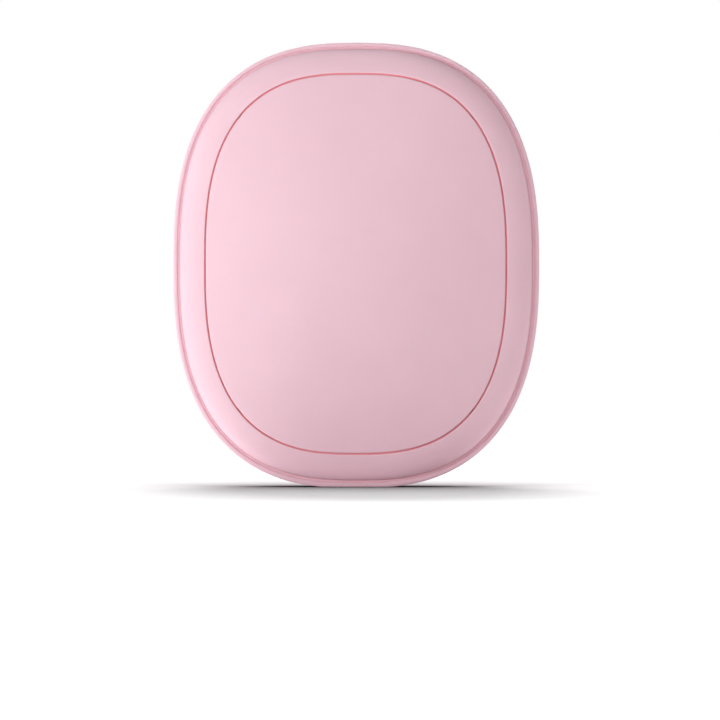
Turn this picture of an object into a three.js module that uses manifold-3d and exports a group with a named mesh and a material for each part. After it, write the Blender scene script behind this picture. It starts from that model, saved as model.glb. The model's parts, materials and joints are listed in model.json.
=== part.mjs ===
// A rechargeable hand warmer: a pebble-shaped case of two equal shells clamped on a middle frame,
// with a domed heating panel let into each face. Between the panels lie heater films, foam pads
// and a flat pouch cell, and a small circuit board sits at the top behind the charging socket.
// Millimetres, X to the right, Y to the rear, Z up. It stands on the flat of its lower edge, with
// the origin in the middle of that flat. Inside, the case frame has its origin at mid-height.
import * as THREE from "three";
import { mergeVertices } from "three/addons/utils/BufferGeometryUtils.js";
import Module from "manifold-3d";

const wasm = await Module();
wasm.setup();

// Overall size and outline
const CASE_WIDTH = 70;
const CASE_HEIGHT = 85;
const CASE_DEPTH = 25.5;
const OUTLINE_POWER = 2.57; // exponent of the superellipse that the outline follows
const SEAM_POWER = 2.7; // the same exponent at the seam round the panel
const FOOT_CUT = 0.22; // depth of the flat that the case stands on
const OUTLINE_STEPS = 64;
const FILM_STEPS = 32;
const PILL_STEPS = 5;

// Middle frame: the lip that shows round the outline, and the web that carries the shells
const RIM_DEPTH = 9;
const RIM_EDGE = 0.4;
const FACE_SINK = 0.2; // how far the button and the lights stand back from the outline
const LIP_WIDTH = 0.8;
const GROOVE_WIDTH = 0.5;
const GROOVE_DEPTH = 1;
const WEB_REACH = 2.4; // from the inside of the lip to the bore of the frame

// Shells: the band between the groove and the seam, and the ledge under the panel
const SHELL_WALL = 1.6;
const SIDE_RISE = 1.3;
const SEAM_INSET = 6.2;
const SEAM_GAP = 0.3;
const SEAM_EDGE = 0.2;
const DOME_RISE_SHARE = 0.17; // of the depth, from the seam to the crown
const LEDGE_WIDTH = 3.6;
const LEDGE_WALL = 1.3;
const SHOULDER_STEPS = 5;
const SHOULDER_SHARES = [0.6, 0.42, 0.19]; // steep rise, then across and below the crown
const INNER_CORNER_SHARE = 0.45;

// Panels
const PANEL_EDGE = 1.6; // thickness at the seam, down to the ledge
const PANEL_WALL = 1.5;
const POCKET_GAP = 0.4;
const DOME_RING_SHARES = [0.86, 0.7, 0.5, 0.26];
const POCKET_RING_SHARES = [1, 0.7, 0.36];

// Heater films and foam pads
const FILM_GAP = 0.3;
const FILM_THICKNESS = 0.4;
const FILM_MARGIN = 0.9;
const FOAM_MARGIN = 1.4;
const FOAM_GAP = 0.3;

// Screws that clamp the case, their posts and the holes round them
const SCREW_SHARE = 0.6; // of the ledge's width, from the seam
const SCREW_DROP = 15.8; // from the top of the case
const POST_RADIUS = 2.4;
const SCREW_RADIUS = 1;
const SCREW_END_GAP = 1;
const SCREW_HEAD_RADIUS = 1.75;
const SCREW_HEAD_HEIGHT = 1.3;
const SCREW_SEAT_DEPTH = 2.6;
const SCREW_SEAT_WALL = 1.2;
const HOLE_CLEARANCE = 0.3;
const SCREW_STEPS = 14;
const RECESS_SHARES = [0.62, 0.16, 0.5]; // length and width of the head's radius, depth

// Inner carrier
const CARRIER_WALL = 1.2;
const CARRIER_GAP = 0.35;
const LEAD_NOTCH_DEPTH = 3;
const NOTCH_MARGIN = 0.9;

// Pouch cell and its guard board
const CELL_ROOM = 1; // from the cell's face to the underside of the ledge
const CELL_GAP = 0.3;
const CELL_EDGE = 1.2;
const POST_GAP = 0.5;
const GUARD_BOARD_DEPTH = 3.6;
const GUARD_BOARD_THICKNESS = 0.8;
const GUARD_BOARD_SHARE = 0.6;
const GUARD_ROOM = 2.6;
const TAB_WIDTH = 4;
const TAB_DEPTH = 0.3;
const TAB_HEIGHT = 0.8;
const TAB_SHARE = 0.28;

// Charging socket
const SOCKET_WIDTH = 8.94;
const SOCKET_DEPTH = 3.26;
const SOCKET_WALL = 0.32;
const SOCKET_LENGTH = 8.6;
const SOCKET_SINK = 0.5;
const SOCKET_CLEARANCE = 0.2;
const TONGUE_WIDTH = 6.69;
const TONGUE_DEPTH = 0.7;
const TONGUE_SINK = 0.9;
const INSERT_BASE = 2.2;
const INSERT_GAP = 0.05;

// Main board
const BOARD_THICKNESS = 1;
const BOARD_GAP = 0.4;
const BOARD_SCREW_RADIUS = 0.8;
const BOARD_SCREW_LENGTH = 3;
const BOARD_SCREW_HEAD_RADIUS = 1.5;
const BOARD_SCREW_HEAD_HEIGHT = 0.8;
const BOARD_BOSS_RADIUS = 2;
const BOARD_BOSS_GAP = 0.3;
const BOARD_SCREW_SHARES = [0.86, 0.17];

// Power button and the side-push switch behind it
const BUTTON_SHARE = 0.33; // of half the width
const BUTTON_WIDTH = 7;
const BUTTON_DEPTH = 2.8;
const BUTTON_CLEARANCE = 0.2;
const BUTTON_TRAVEL = 0.4;
const BUTTON_PLAY = 0.1;
const BUTTON_FLANGE = 0.9;
const BUTTON_FLANGE_HEIGHT = 0.8;
const BUTTON_NUB_WIDTH = 2.6;
const BUTTON_NUB_DEPTH = 1.2;
const BUTTON_NUB_HEIGHT = 0.7;
const GUIDE_WALL = 1.3;
const SWITCH_WIDTH = 4.7;
const SWITCH_DEPTH = 2.2;
const SWITCH_HEIGHT = 3.6;
const PLUNGER_GAP = 0.2;
const PLUNGER_WIDTH = 2.4;
const PLUNGER_DEPTH = 1;
const PLUNGER_OUT = 0.9;
const PLUNGER_IN = 1.4;
const SPRING_LEFT = 0.35; // rise of the spring that is left at full travel
const SPRING_GAP = 0.1;
const SPRING_THICKNESS = 0.12;
const SPRING_STEPS = 6;

// Status lights
const LED_SHARES = [-0.23, -0.3, -0.37, -0.44]; // of half the width
const LED_WIDTH = 1.6;
const LED_DEPTH = 1.1;
const LED_HEIGHT = 0.8;
const LED_GAP = 0.3;
const PRONG_RADIUS = 0.65;
const PRONG_CLEARANCE = 0.15;
const PRONG_STEPS = 12;
const BEAD_STEPS = 3;
const GUIDE_BAR_HEIGHT = 1.6;
const GUIDE_BAR_FRONT = 1;
const GUIDE_BAR_MARGIN = 1;
const GUIDE_BAR_GAP = 0.2;

// Parts soldered to the board: size along X, height off the board, size along Z
const CHARGE_CHIP = { width: 4.9, height: 1.5, length: 3.9, pins: 4 };
const CONTROL_CHIP = { width: 5.4, height: 1.5, length: 3.9, pins: 4 };
const HEATER_SWITCH = { width: 2.9, height: 1.1, length: 1.3, pins: 2 };
const PIN_WIDTH = 0.42;
const PIN_REACH = 0.8;
const PIN_THICKNESS = 0.25;
const INDUCTOR = { side: 5, height: 2.8, edge: 0.9, radius: 2, rim: 0.4 };
const CAPACITOR = { width: 3.2, height: 1.7, length: 1.6 };
const PART_GAP = 0.5;
const CHIP_SHARES = [-0.1, 0.36]; // of half the board's width, and of its height above its foot
const CAPACITOR_SHARES = [
  [-0.2, 0.07],
  [0.1, 0.07],
];

// Leads and temperature sensors
const LEAD_RADIUS = 0.5;
const LEAD_GAP = 0.3;
const LEAD_BEND = 0.9;
const LEAD_SIDES = 6;
const LEAD_STEPS = 8;
const RIBBON_WIDTH = 1.3;
const RIBBON_THICKNESS = 0.6;
const PAD_RISE = 1.3; // height of the solder pads above the board's lower edge
const FILM_PAD_RISE = 1.8; // how much higher the pads on the films lie
const SENSOR_RADIUS = 0.8;
const SENSOR_LENGTH = 3;
const HEATER_LEAD_SHARES = [-0.69, -0.56]; // of half the board's width, as are the next two
const SENSOR_SHARE = -0.4;
const BATTERY_LEAD_SHARES = [0.7, 0.57];

const MERGE_TOLERANCE = 1e-4;
const OVERRUN = 5;

// Heights above the middle plane and insets from the outline that follow from the sizes above
const APEX = CASE_DEPTH / 2;
const DOME_RISE = CASE_DEPTH * DOME_RISE_SHARE;
const SEAM_HEIGHT = APEX - DOME_RISE;
const WEB_HEIGHT = RIM_DEPTH / 2 - GROOVE_DEPTH;
const FRAME_BORE = LIP_WIDTH + WEB_REACH;
const SHELL_INSET = LIP_WIDTH + GROOVE_WIDTH;
const LEDGE_TOP = SEAM_HEIGHT - PANEL_EDGE;
const LEDGE_BOTTOM = LEDGE_TOP - LEDGE_WALL;
const LEDGE_INSET = SEAM_INSET + LEDGE_WIDTH;
const POCKET_INSET = LEDGE_INSET + POCKET_GAP;
const SCREW_INSET = SEAM_INSET + LEDGE_WIDTH * SCREW_SHARE;
const SCREW_SEAT = LEDGE_TOP - SCREW_SEAT_DEPTH;
const SCREW_LENGTH = SCREW_SEAT + LEDGE_TOP - SCREW_END_GAP;
const CARRIER_INSET = FRAME_BORE + CARRIER_GAP;
const CARRIER_FRONT = SCREW_SEAT - SCREW_SEAT_WALL;
const CELL_FACE = LEDGE_BOTTOM - CELL_ROOM;
const BOARD_FRONT = SOCKET_DEPTH / 2;
const BOARD_REAR = BOARD_FRONT + BOARD_THICKNESS;
const CARRIER_REAR = BOARD_REAR + CARRIER_WALL;
const BOARD_INSET = FRAME_BORE + BOARD_GAP;
const FILM_OUTER_DROP = PANEL_WALL + FILM_GAP;
const FILM_INNER_DROP = FILM_OUTER_DROP + FILM_THICKNESS;
const FOAM_DROP = FILM_INNER_DROP + FOAM_GAP;

// Distance from the centre to the outline inset by a given amount, at an angle from +X
function outlineRadius(inset, angle) {
  const power = OUTLINE_POWER + ((SEAM_POWER - OUTLINE_POWER) * inset) / SEAM_INSET;
  const lower = Math.sin(angle) < 0;
  const halfWidth = CASE_WIDTH / 2 - inset;
  const flat = CASE_HEIGHT / 2 - inset;
  const halfHeight = lower ? flat + FOOT_CUT : flat;
  const across = Math.abs(Math.cos(angle)) / halfWidth;
  const up = Math.abs(Math.sin(angle)) / halfHeight;
  const radius = (across ** power + up ** power) ** (-1 / power);
  const toFlat = flat / Math.max(Math.abs(Math.sin(angle)), Number.EPSILON);
  return lower ? Math.min(radius, toFlat) : radius;
}

// Height of the inset outline above the centre, where it crosses a given X
function outlineTopAt(inset, x) {
  const power = OUTLINE_POWER + ((SEAM_POWER - OUTLINE_POWER) * inset) / SEAM_INSET;
  const share = Math.abs(x) / (CASE_WIDTH / 2 - inset);
  return (CASE_HEIGHT / 2 - inset) * (1 - share ** power) ** (1 / power);
}

// Half the width of the inset outline, where it crosses a given height
function outlineSideAt(inset, z) {
  const power = OUTLINE_POWER + ((SEAM_POWER - OUTLINE_POWER) * inset) / SEAM_INSET;
  const share = Math.abs(z) / (CASE_HEIGHT / 2 - inset);
  return (CASE_WIDTH / 2 - inset) * (1 - share ** power) ** (1 / power);
}

// Height of the domed face above the middle plane
function domeHeight(x, z) {
  const share = Math.hypot(x, z) / outlineRadius(SEAM_INSET, Math.atan2(z, x));
  return APEX - DOME_RISE * share * share;
}

// A ring of points on the inset outline, scaled by a share, at a height that may follow the dome
function ring(inset, height, { share = 1, steps = OUTLINE_STEPS } = {}) {
  return Array.from({ length: steps }, (_, k) => {
    const angle = ((k + 1 / 2) * 2 * Math.PI) / steps;
    const radius = outlineRadius(inset, angle) * share;
    const x = radius * Math.cos(angle);
    const z = radius * Math.sin(angle);
    const rise = typeof height === "function" ? height(x, z) : height;
    return new THREE.Vector3(x, -rise, z);
  });
}

// A closed surface through rings of points, joined end to end or closed by a fan at each end
function loftGeometry(rings, ends) {
  const count = rings[0].length;
  const points = rings.flat();
  const faces = [];
  const bands = ends ? rings.length - 1 : rings.length;
  for (let r = 0; r < bands; r++) {
    const from = r * count;
    const to = ((r + 1) % rings.length) * count;
    for (let k = 0; k < count; k++) {
      const next = (k + 1) % count;
      faces.push(from + k, from + next, to + next, from + k, to + next, to + k);
    }
  }
  if (ends) {
    const last = (rings.length - 1) * count;
    for (let k = 0; k < count; k++) {
      const next = (k + 1) % count;
      faces.push(next, k, points.length);
      faces.push(last + k, last + next, points.length + 1);
    }
    points.push(...ends);
  }
  return new THREE.BufferGeometry().setFromPoints(points).setIndex(faces);
}

// A solid for joining and cutting, from a closed three.js geometry of either winding
function toSolid(geometry) {
  const bare = new THREE.BufferGeometry();
  bare.setAttribute("position", geometry.getAttribute("position"));
  bare.setIndex(geometry.index);
  const merged = mergeVertices(bare, MERGE_TOLERANCE);
  const corners = merged.index.array;
  const build = (order) => {
    const triangles = [];
    for (let i = 0; i < corners.length; i += 3) {
      const [a, b, c] = order.map((k) => corners[i + k]);
      if (a !== b && b !== c && a !== c) triangles.push(a, b, c);
    }
    const mesh = new wasm.Mesh({
      numProp: 3,
      vertProperties: merged.attributes.position.array,
      triVerts: new Uint32Array(triangles),
    });
    return new wasm.Manifold(mesh);
  };
  const made = build([0, 1, 2]);
  return made.volume() > 0 ? made : build([0, 2, 1]);
}

function loft(rings, ends) {
  return toSolid(loftGeometry(rings, ends));
}

// A block between two corners
function block([x0, y0, z0], [x1, y1, z1]) {
  const geometry = new THREE.BoxGeometry(x1 - x0, y1 - y0, z1 - z0);
  return toSolid(geometry.translate((x0 + x1) / 2, (y0 + y1) / 2, (z0 + z1) / 2));
}

// A round rod along Y
function rod(radius, y0, y1, x, z, steps = SCREW_STEPS) {
  const geometry = new THREE.CylinderGeometry(radius, radius, y1 - y0, steps);
  return toSolid(geometry.translate(x, (y0 + y1) / 2, z));
}

// A round rod along Z
function pin(radius, z0, z1, x, y, steps = PRONG_STEPS) {
  const geometry = new THREE.CylinderGeometry(radius, radius, z1 - z0, steps);
  return toSolid(geometry.rotateX(Math.PI / 2).translate(x, y, (z0 + z1) / 2));
}

// A prism along Z whose section is a rectangle with fully round ends
function pill(width, depth, z0, z1, x) {
  const radius = depth / 2;
  const reach = width / 2 - radius;
  const section = new THREE.Shape();
  section.absarc(reach, 0, radius, -Math.PI / 2, Math.PI / 2);
  section.absarc(-reach, 0, radius, Math.PI / 2, (3 * Math.PI) / 2);
  const geometry = new THREE.ExtrudeGeometry(section, {
    depth: z1 - z0,
    bevelEnabled: false,
    curveSegments: PILL_STEPS,
  });
  return toSolid(geometry.translate(x, 0, z0));
}

// A slab of the inset outline between two places along Y
function slab(inset, y0, y1) {
  const ends = [new THREE.Vector3(0, y0, 0), new THREE.Vector3(0, y1, 0)];
  return loft([ring(inset, -y0), ring(inset, -y1)], ends);
}

const join = (solids) => solids.reduce((a, b) => a.add(b));
const cut = (solid, tools) => tools.reduce((a, b) => a.subtract(b), solid);

// Materials
const finish = (color, roughness, metalness = 0) =>
  new THREE.MeshStandardMaterial({ color, roughness, metalness });
const PINK_PLASTIC = finish(0xecc4cf, 0.5);
const WHITE_PLASTIC = finish(0xe9e7e2, 0.55);
const BLACK_PLASTIC = finish(0x1c1c1f, 0.5);
const CLEAR_PLASTIC = finish(0xf2f4f5, 0.2);
const FILM_AMBER = finish(0xb5702a, 0.35);
const FOAM_GREY = finish(0x55575a, 0.95);
const CELL_FOIL = finish(0xb9bcc0, 0.35, 0.7);
const NICKEL = finish(0xc9c6be, 0.3, 1);
const STEEL = finish(0xaeb1b5, 0.35, 1);
const BOARD_GREEN = finish(0x1f5a3a, 0.45);
const FERRITE = finish(0x3b3b3f, 0.8);
const CERAMIC = finish(0xa98b63, 0.5);
const LED_WHITE = finish(0xf3efe0, 0.3);
const RED_SILICONE = finish(0xb3221d, 0.6);
const BLACK_SILICONE = finish(0x1a1a1a, 0.6);
const WHITE_SILICONE = finish(0xe6e3dc, 0.6);
const SENSOR_GLASS = finish(0x2a211b, 0.3);

// A named mesh of a solid
function piece(name, solid, material) {
  const { numProp, numVert, vertProperties, triVerts } = solid.getMesh();
  const points = new Float32Array(numVert * 3);
  for (let i = 0; i < numVert; i++) {
    points.set(vertProperties.subarray(i * numProp, i * numProp + 3), i * 3);
  }
  const geometry = new THREE.BufferGeometry();
  geometry.setAttribute("position", new THREE.BufferAttribute(points, 3));
  geometry.setIndex(new THREE.BufferAttribute(triVerts, 1));
  geometry.computeVertexNormals();
  const mesh = new THREE.Mesh(geometry, material);
  mesh.name = name;
  return mesh;
}

// Centre of a screw post at the upper right, and all four by symmetry
const POST_Z = CASE_HEIGHT / 2 - SCREW_DROP;
const POST_X = outlineSideAt(SCREW_INSET, POST_Z);
const POSTS = [
  [POST_X, POST_Z],
  [-POST_X, POST_Z],
  [-POST_X, -POST_Z],
  [POST_X, -POST_Z],
];

// The cell lies between the posts, and its window wall just fits the carrier's outline
const CELL_HALF_HEIGHT = POST_Z - POST_RADIUS - POST_GAP;
const WINDOW_HALF_HEIGHT = CELL_HALF_HEIGHT + CELL_GAP;
const WALL_HALF_HEIGHT = WINDOW_HALF_HEIGHT + CARRIER_WALL;
const WALL_HALF_WIDTH = outlineSideAt(CARRIER_INSET, WALL_HALF_HEIGHT);
const WINDOW_HALF_WIDTH = WALL_HALF_WIDTH - CARRIER_WALL;
const CELL_HALF_WIDTH = WINDOW_HALF_WIDTH - CELL_GAP;

// The board lies above the window wall, between the upper posts
const BOARD_HALF_WIDTH = POST_X - POST_RADIUS - POST_GAP;
const BOARD_BOTTOM = WALL_HALF_HEIGHT + CELL_GAP;
const BOARD_TOP = CASE_HEIGHT / 2 - BOARD_INSET;
const PAD_Z = BOARD_BOTTOM + PAD_RISE;
const FILM_PAD_Z = PAD_Z + FILM_PAD_RISE;
const boardX = (share) => BOARD_HALF_WIDTH * share;
const boardZ = (share) => BOARD_BOTTOM + (BOARD_TOP - BOARD_BOTTOM) * share;
const BOARD_SCREWS = [-1, 1].map((side) => [
  side * boardX(BOARD_SCREW_SHARES[0]),
  boardZ(BOARD_SCREW_SHARES[1]),
]);
const HEATER_LEAD_X = HEATER_LEAD_SHARES.map(boardX);
const SENSOR_X = boardX(SENSOR_SHARE);
const BATTERY_LEAD_X = BATTERY_LEAD_SHARES.map(boardX);

// The charge chip and the inductor lie on either side of the control chip
const CONTROL_CHIP_X = boardX(CHIP_SHARES[0]);
const CHARGE_CHIP_X = CONTROL_CHIP_X - (CONTROL_CHIP.width + CHARGE_CHIP.width) / 2 - PART_GAP;
const INDUCTOR_X = CONTROL_CHIP_X + (CONTROL_CHIP.width + INDUCTOR.side) / 2 + PART_GAP;
const CHIP_Z = boardZ(CHIP_SHARES[1]);

// Levels of the button and its switch
const BUTTON_X = (CASE_WIDTH / 2) * BUTTON_SHARE;
const GUIDE_HALF_WIDTH = BUTTON_WIDTH / 2 + BUTTON_CLEARANCE + GUIDE_WALL;
const GUIDE_BOTTOM = outlineTopAt(FRAME_BORE, BUTTON_X + GUIDE_HALF_WIDTH);
const FLANGE_TOP = GUIDE_BOTTOM - BUTTON_PLAY;
const FLANGE_BOTTOM = FLANGE_TOP - BUTTON_FLANGE_HEIGHT;
const NUB_BOTTOM = FLANGE_BOTTOM - BUTTON_NUB_HEIGHT;
const PLUNGER_TOP = NUB_BOTTOM - PLUNGER_GAP;
const SWITCH_TOP = PLUNGER_TOP - PLUNGER_OUT;
const SWITCH_BOTTOM = SWITCH_TOP - SWITCH_HEIGHT;
const SWITCH_FRONT = BOARD_FRONT - SWITCH_DEPTH;
const SWITCH_Y = BOARD_FRONT - SWITCH_DEPTH / 2;
const POCKET_HALF_WIDTH = PLUNGER_WIDTH / 2 + PLUNGER_GAP;
const POCKET_HALF_DEPTH = PLUNGER_DEPTH / 2 + PLUNGER_GAP;
const SPRING_RISE = BUTTON_TRAVEL + SPRING_LEFT;
const SPRING_TOP = SWITCH_TOP - PLUNGER_IN - SPRING_GAP;
const SPRING_FOOT = SPRING_TOP - SPRING_THICKNESS - SPRING_RISE;

// Levels of the status lights
const LED_X = LED_SHARES.map((share) => (CASE_WIDTH / 2) * share);
const GUIDE_BAR_END = LED_X.at(-1) - GUIDE_BAR_MARGIN;
const GUIDE_BAR_TOP = outlineTopAt(FRAME_BORE, GUIDE_BAR_END) - GUIDE_BAR_GAP;
const GUIDE_BAR_BOTTOM = GUIDE_BAR_TOP - GUIDE_BAR_HEIGHT;
const LED_TOP = GUIDE_BAR_BOTTOM - LED_GAP;

// The heater transistors lie beside the switch and, on the other side, below the lights
const HEATER_SWITCH_X = BUTTON_X + SWITCH_WIDTH / 2 + PART_GAP + HEATER_SWITCH.width / 2;
const HEATER_SWITCH_Z =
  LED_TOP - LED_HEIGHT - PART_GAP - PIN_REACH - HEATER_SWITCH.length / 2;

// Middle frame: a ring with a lip on each side, and the holes for socket, button and lights
function middleFrame() {
  const rim = RIM_DEPTH / 2;
  const half = [
    [FRAME_BORE, WEB_HEIGHT],
    [LIP_WIDTH, WEB_HEIGHT],
    [LIP_WIDTH, rim],
    [RIM_EDGE, rim],
    [0, rim - RIM_EDGE],
  ];
  const mirrored = half.map(([inset, height]) => [inset, -height]).reverse();
  const body = loft([...half, ...mirrored].map(([inset, height]) => ring(inset, height)));
  const guide = block(
    [BUTTON_X - GUIDE_HALF_WIDTH, -WEB_HEIGHT, GUIDE_BOTTOM],
    [BUTTON_X + GUIDE_HALF_WIDTH, BOARD_FRONT - BUTTON_CLEARANCE, CASE_HEIGHT / 2],
  );
  const bounds = slab(SHELL_INSET, -WEB_HEIGHT, WEB_HEIGHT);
  const top = CASE_HEIGHT / 2 + OVERRUN;
  const socketHole = pill(
    SOCKET_WIDTH + 2 * SOCKET_CLEARANCE,
    SOCKET_DEPTH + 2 * SOCKET_CLEARANCE,
    BOARD_TOP - OVERRUN,
    top,
    0,
  );
  const buttonHole = pill(
    BUTTON_WIDTH + 2 * BUTTON_CLEARANCE,
    BUTTON_DEPTH + 2 * BUTTON_CLEARANCE,
    GUIDE_BOTTOM - OVERRUN,
    top,
    BUTTON_X,
  );
  const lightHoles = LED_X.map((x) =>
    pin(PRONG_RADIUS + PRONG_CLEARANCE, GUIDE_BAR_BOTTOM, top, x, 0),
  );
  return cut(body.add(guide.intersect(bounds)), [socketHole, buttonHole, ...lightHoles]);
}

// Section of a shell as insets from the outline and heights above the middle plane
function shellSection() {
  const sideTop = WEB_HEIGHT + SIDE_RISE;
  const rise = SEAM_HEIGHT - sideTop;
  const run = SEAM_INSET - SHELL_INSET;
  const [steep, across, crown] = SHOULDER_SHARES;
  const shoulder = new THREE.CubicBezierCurve(
    new THREE.Vector2(SHELL_INSET, sideTop),
    new THREE.Vector2(SHELL_INSET, sideTop + steep * rise),
    new THREE.Vector2(SHELL_INSET + across * run, SEAM_HEIGHT - crown * rise),
    new THREE.Vector2(SEAM_INSET - SEAM_EDGE, SEAM_HEIGHT),
  );
  const inner = SHELL_INSET + SHELL_WALL;
  const corner = LEDGE_BOTTOM - WEB_HEIGHT;
  return [
    [SHELL_INSET, WEB_HEIGHT],
    ...shoulder.getPoints(SHOULDER_STEPS).map((p) => [p.x, p.y]),
    [SEAM_INSET, SEAM_HEIGHT - SEAM_EDGE],
    [SEAM_INSET, LEDGE_TOP],
    [LEDGE_INSET, LEDGE_TOP],
    [LEDGE_INSET, LEDGE_BOTTOM],
    [inner + corner * INNER_CORNER_SHARE, LEDGE_BOTTOM],
    [inner, LEDGE_BOTTOM - corner * INNER_CORNER_SHARE],
    [inner, WEB_HEIGHT],
  ];
}

// A shell, facing the front, with four posts that reach to the carrier, and the seats of screw
// heads at the given height
function shell(postEnd, headSeats) {
  const body = loft(shellSection().map(([inset, height]) => ring(inset, height)));
  const posts = POSTS.map(([x, z]) => rod(POST_RADIUS, -LEDGE_TOP, -postEnd, x, z));
  const holes = POSTS.map(([x, z]) =>
    rod(SCREW_RADIUS + HOLE_CLEARANCE, -LEDGE_TOP - OVERRUN, -postEnd + OVERRUN, x, z),
  );
  const seats = headSeats.flatMap((height) =>
    POSTS.map(([x, z]) =>
      rod(SCREW_HEAD_RADIUS + HOLE_CLEARANCE, -LEDGE_TOP - OVERRUN, -height, x, z),
    ),
  );
  return cut(join([body, ...posts]), [...holes, ...seats]);
}

// A domed panel with a flat flange on the ledge and a pocket for the heater film
function panel() {
  const edge = SEAM_INSET + SEAM_GAP;
  const inner = (x, z) => domeHeight(x, z) - PANEL_WALL;
  const top = DOME_RING_SHARES.map((share) => ring(edge, domeHeight, { share }));
  const pocket = POCKET_RING_SHARES.map((share) => ring(POCKET_INSET, inner, { share }));
  const rings = [
    ...top.reverse(),
    ring(edge + SEAM_EDGE, domeHeight),
    ring(edge, (x, z) => domeHeight(x, z) - SEAM_EDGE),
    ring(edge, LEDGE_TOP),
    ring(POCKET_INSET, LEDGE_TOP),
    ...pocket,
  ];
  return loft(rings, [new THREE.Vector3(0, -APEX, 0), new THREE.Vector3(0, PANEL_WALL - APEX, 0)]);
}

// A sheet or pad that follows the dome on its outside
function underDome(inset, outerDrop, innerHeight) {
  const outer = (x, z) => domeHeight(x, z) - outerDrop;
  const steps = FILM_STEPS;
  const shares = POCKET_RING_SHARES;
  const outside = shares.map((share) => ring(inset, outer, { share, steps })).reverse();
  const inside = shares.map((share) => ring(inset, innerHeight, { share, steps }));
  const ends = [outer, innerHeight].map((height) => new THREE.Vector3(0, -height(0, 0), 0));
  return loft([...outside, ...inside], ends);
}

function heaterFilm() {
  const inner = (x, z) => domeHeight(x, z) - FILM_INNER_DROP;
  return underDome(POCKET_INSET + FILM_MARGIN, FILM_OUTER_DROP, inner);
}

// The pad fills the space between the film and the cell's face
function foamPad() {
  const pad = underDome(POCKET_INSET + FOAM_MARGIN, FOAM_DROP, () => CELL_FACE + FOAM_GAP);
  const corner = [CELL_HALF_WIDTH, 0, CELL_HALF_HEIGHT];
  const over = block([-corner[0], -APEX, -corner[2]], corner);
  return pad.intersect(over);
}

// A round lead through a few points
function lead(points, section) {
  const path = new THREE.CatmullRomCurve3(points.map((p) => new THREE.Vector3(...p)));
  const geometry = new THREE.ExtrudeGeometry(section, {
    steps: LEAD_STEPS,
    extrudePath: path,
    curveSegments: LEAD_SIDES / 2,
  });
  return toSolid(geometry);
}

const roundSection = new THREE.Shape().absarc(0, 0, LEAD_RADIUS, 0, 2 * Math.PI);
const ribbonSection = new THREE.Shape([
  new THREE.Vector2(-RIBBON_THICKNESS / 2, -RIBBON_WIDTH / 2),
  new THREE.Vector2(RIBBON_THICKNESS / 2, -RIBBON_WIDTH / 2),
  new THREE.Vector2(RIBBON_THICKNESS / 2, RIBBON_WIDTH / 2),
  new THREE.Vector2(-RIBBON_THICKNESS / 2, RIBBON_WIDTH / 2),
]);

// A lead from a height above the middle plane to a face of the board, with a slack bend in it
function crossLead(x, height, boardHeight, section) {
  const start = height - LEAD_GAP;
  const end = boardHeight + LEAD_GAP;
  const half = (start + end) / 2;
  const points = [
    [x, -start, FILM_PAD_Z],
    [x, (-start - half) / 2, FILM_PAD_Z],
    [x - LEAD_BEND / 2, -half, (FILM_PAD_Z + PAD_Z) / 2],
    [x, (-end - half) / 2, PAD_Z],
    [x, -end, PAD_Z],
  ];
  return lead(points, section);
}

// The film, pad, sensor and leads of one side, built facing the front
function heatingSide(side, boardHeight) {
  const group = new THREE.Group();
  const filmInside = (x) => domeHeight(x, FILM_PAD_Z) - FILM_INNER_DROP;
  const sensorHeight = filmInside(SENSOR_X) - FILM_GAP - SENSOR_RADIUS;
  group.add(piece(`${side}_heater_film`, heaterFilm(), FILM_AMBER));
  group.add(piece(`${side}_foam_pad`, foamPad(), FOAM_GREY));
  HEATER_LEAD_X.forEach((x, k) => {
    const solid = crossLead(x, filmInside(x), boardHeight, roundSection);
    const name = `${side}_heater_lead_${k + 1}`;
    group.add(piece(name, solid, k === 0 ? RED_SILICONE : WHITE_SILICONE));
  });
  const sensor = piece(`${side}_temperature_sensor`, sensorBead(), SENSOR_GLASS);
  sensor.position.set(SENSOR_X, -sensorHeight, FILM_PAD_Z);
  group.add(sensor);
  const sensorLead = crossLead(SENSOR_X, sensorHeight - SENSOR_RADIUS, boardHeight, ribbonSection);
  group.add(piece(`${side}_sensor_lead`, sensorLead, BLACK_SILICONE));
  return group;
}

// A glass bead with round ends, lying along X
function sensorBead() {
  const length = SENSOR_LENGTH - 2 * SENSOR_RADIUS;
  const bead = new THREE.CapsuleGeometry(SENSOR_RADIUS, length, BEAD_STEPS, 3 * BEAD_STEPS);
  return toSolid(bead.rotateZ(Math.PI / 2));
}

// A pan-head screw with a cross recess, pointing to the rear from the seat under its head
function screw(radius, length, headRadius, headHeight) {
  const profile = [
    [0, -headHeight],
    [headRadius, -headHeight],
    [headRadius, 0],
    [radius, 0],
    [radius, length - radius],
    [0, length],
  ];
  const points = profile.map(([x, y]) => new THREE.Vector2(x, y));
  const body = toSolid(new THREE.LatheGeometry(points, SCREW_STEPS));
  const [reach, slot] = RECESS_SHARES.map((share) => headRadius * share);
  const floor = -headHeight * (1 - RECESS_SHARES[2]);
  const bars = [
    block([-reach, -headHeight - OVERRUN, -slot], [reach, floor, slot]),
    block([-slot, -headHeight - OVERRUN, -reach], [slot, floor, reach]),
  ];
  return cut(body, bars);
}

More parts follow.
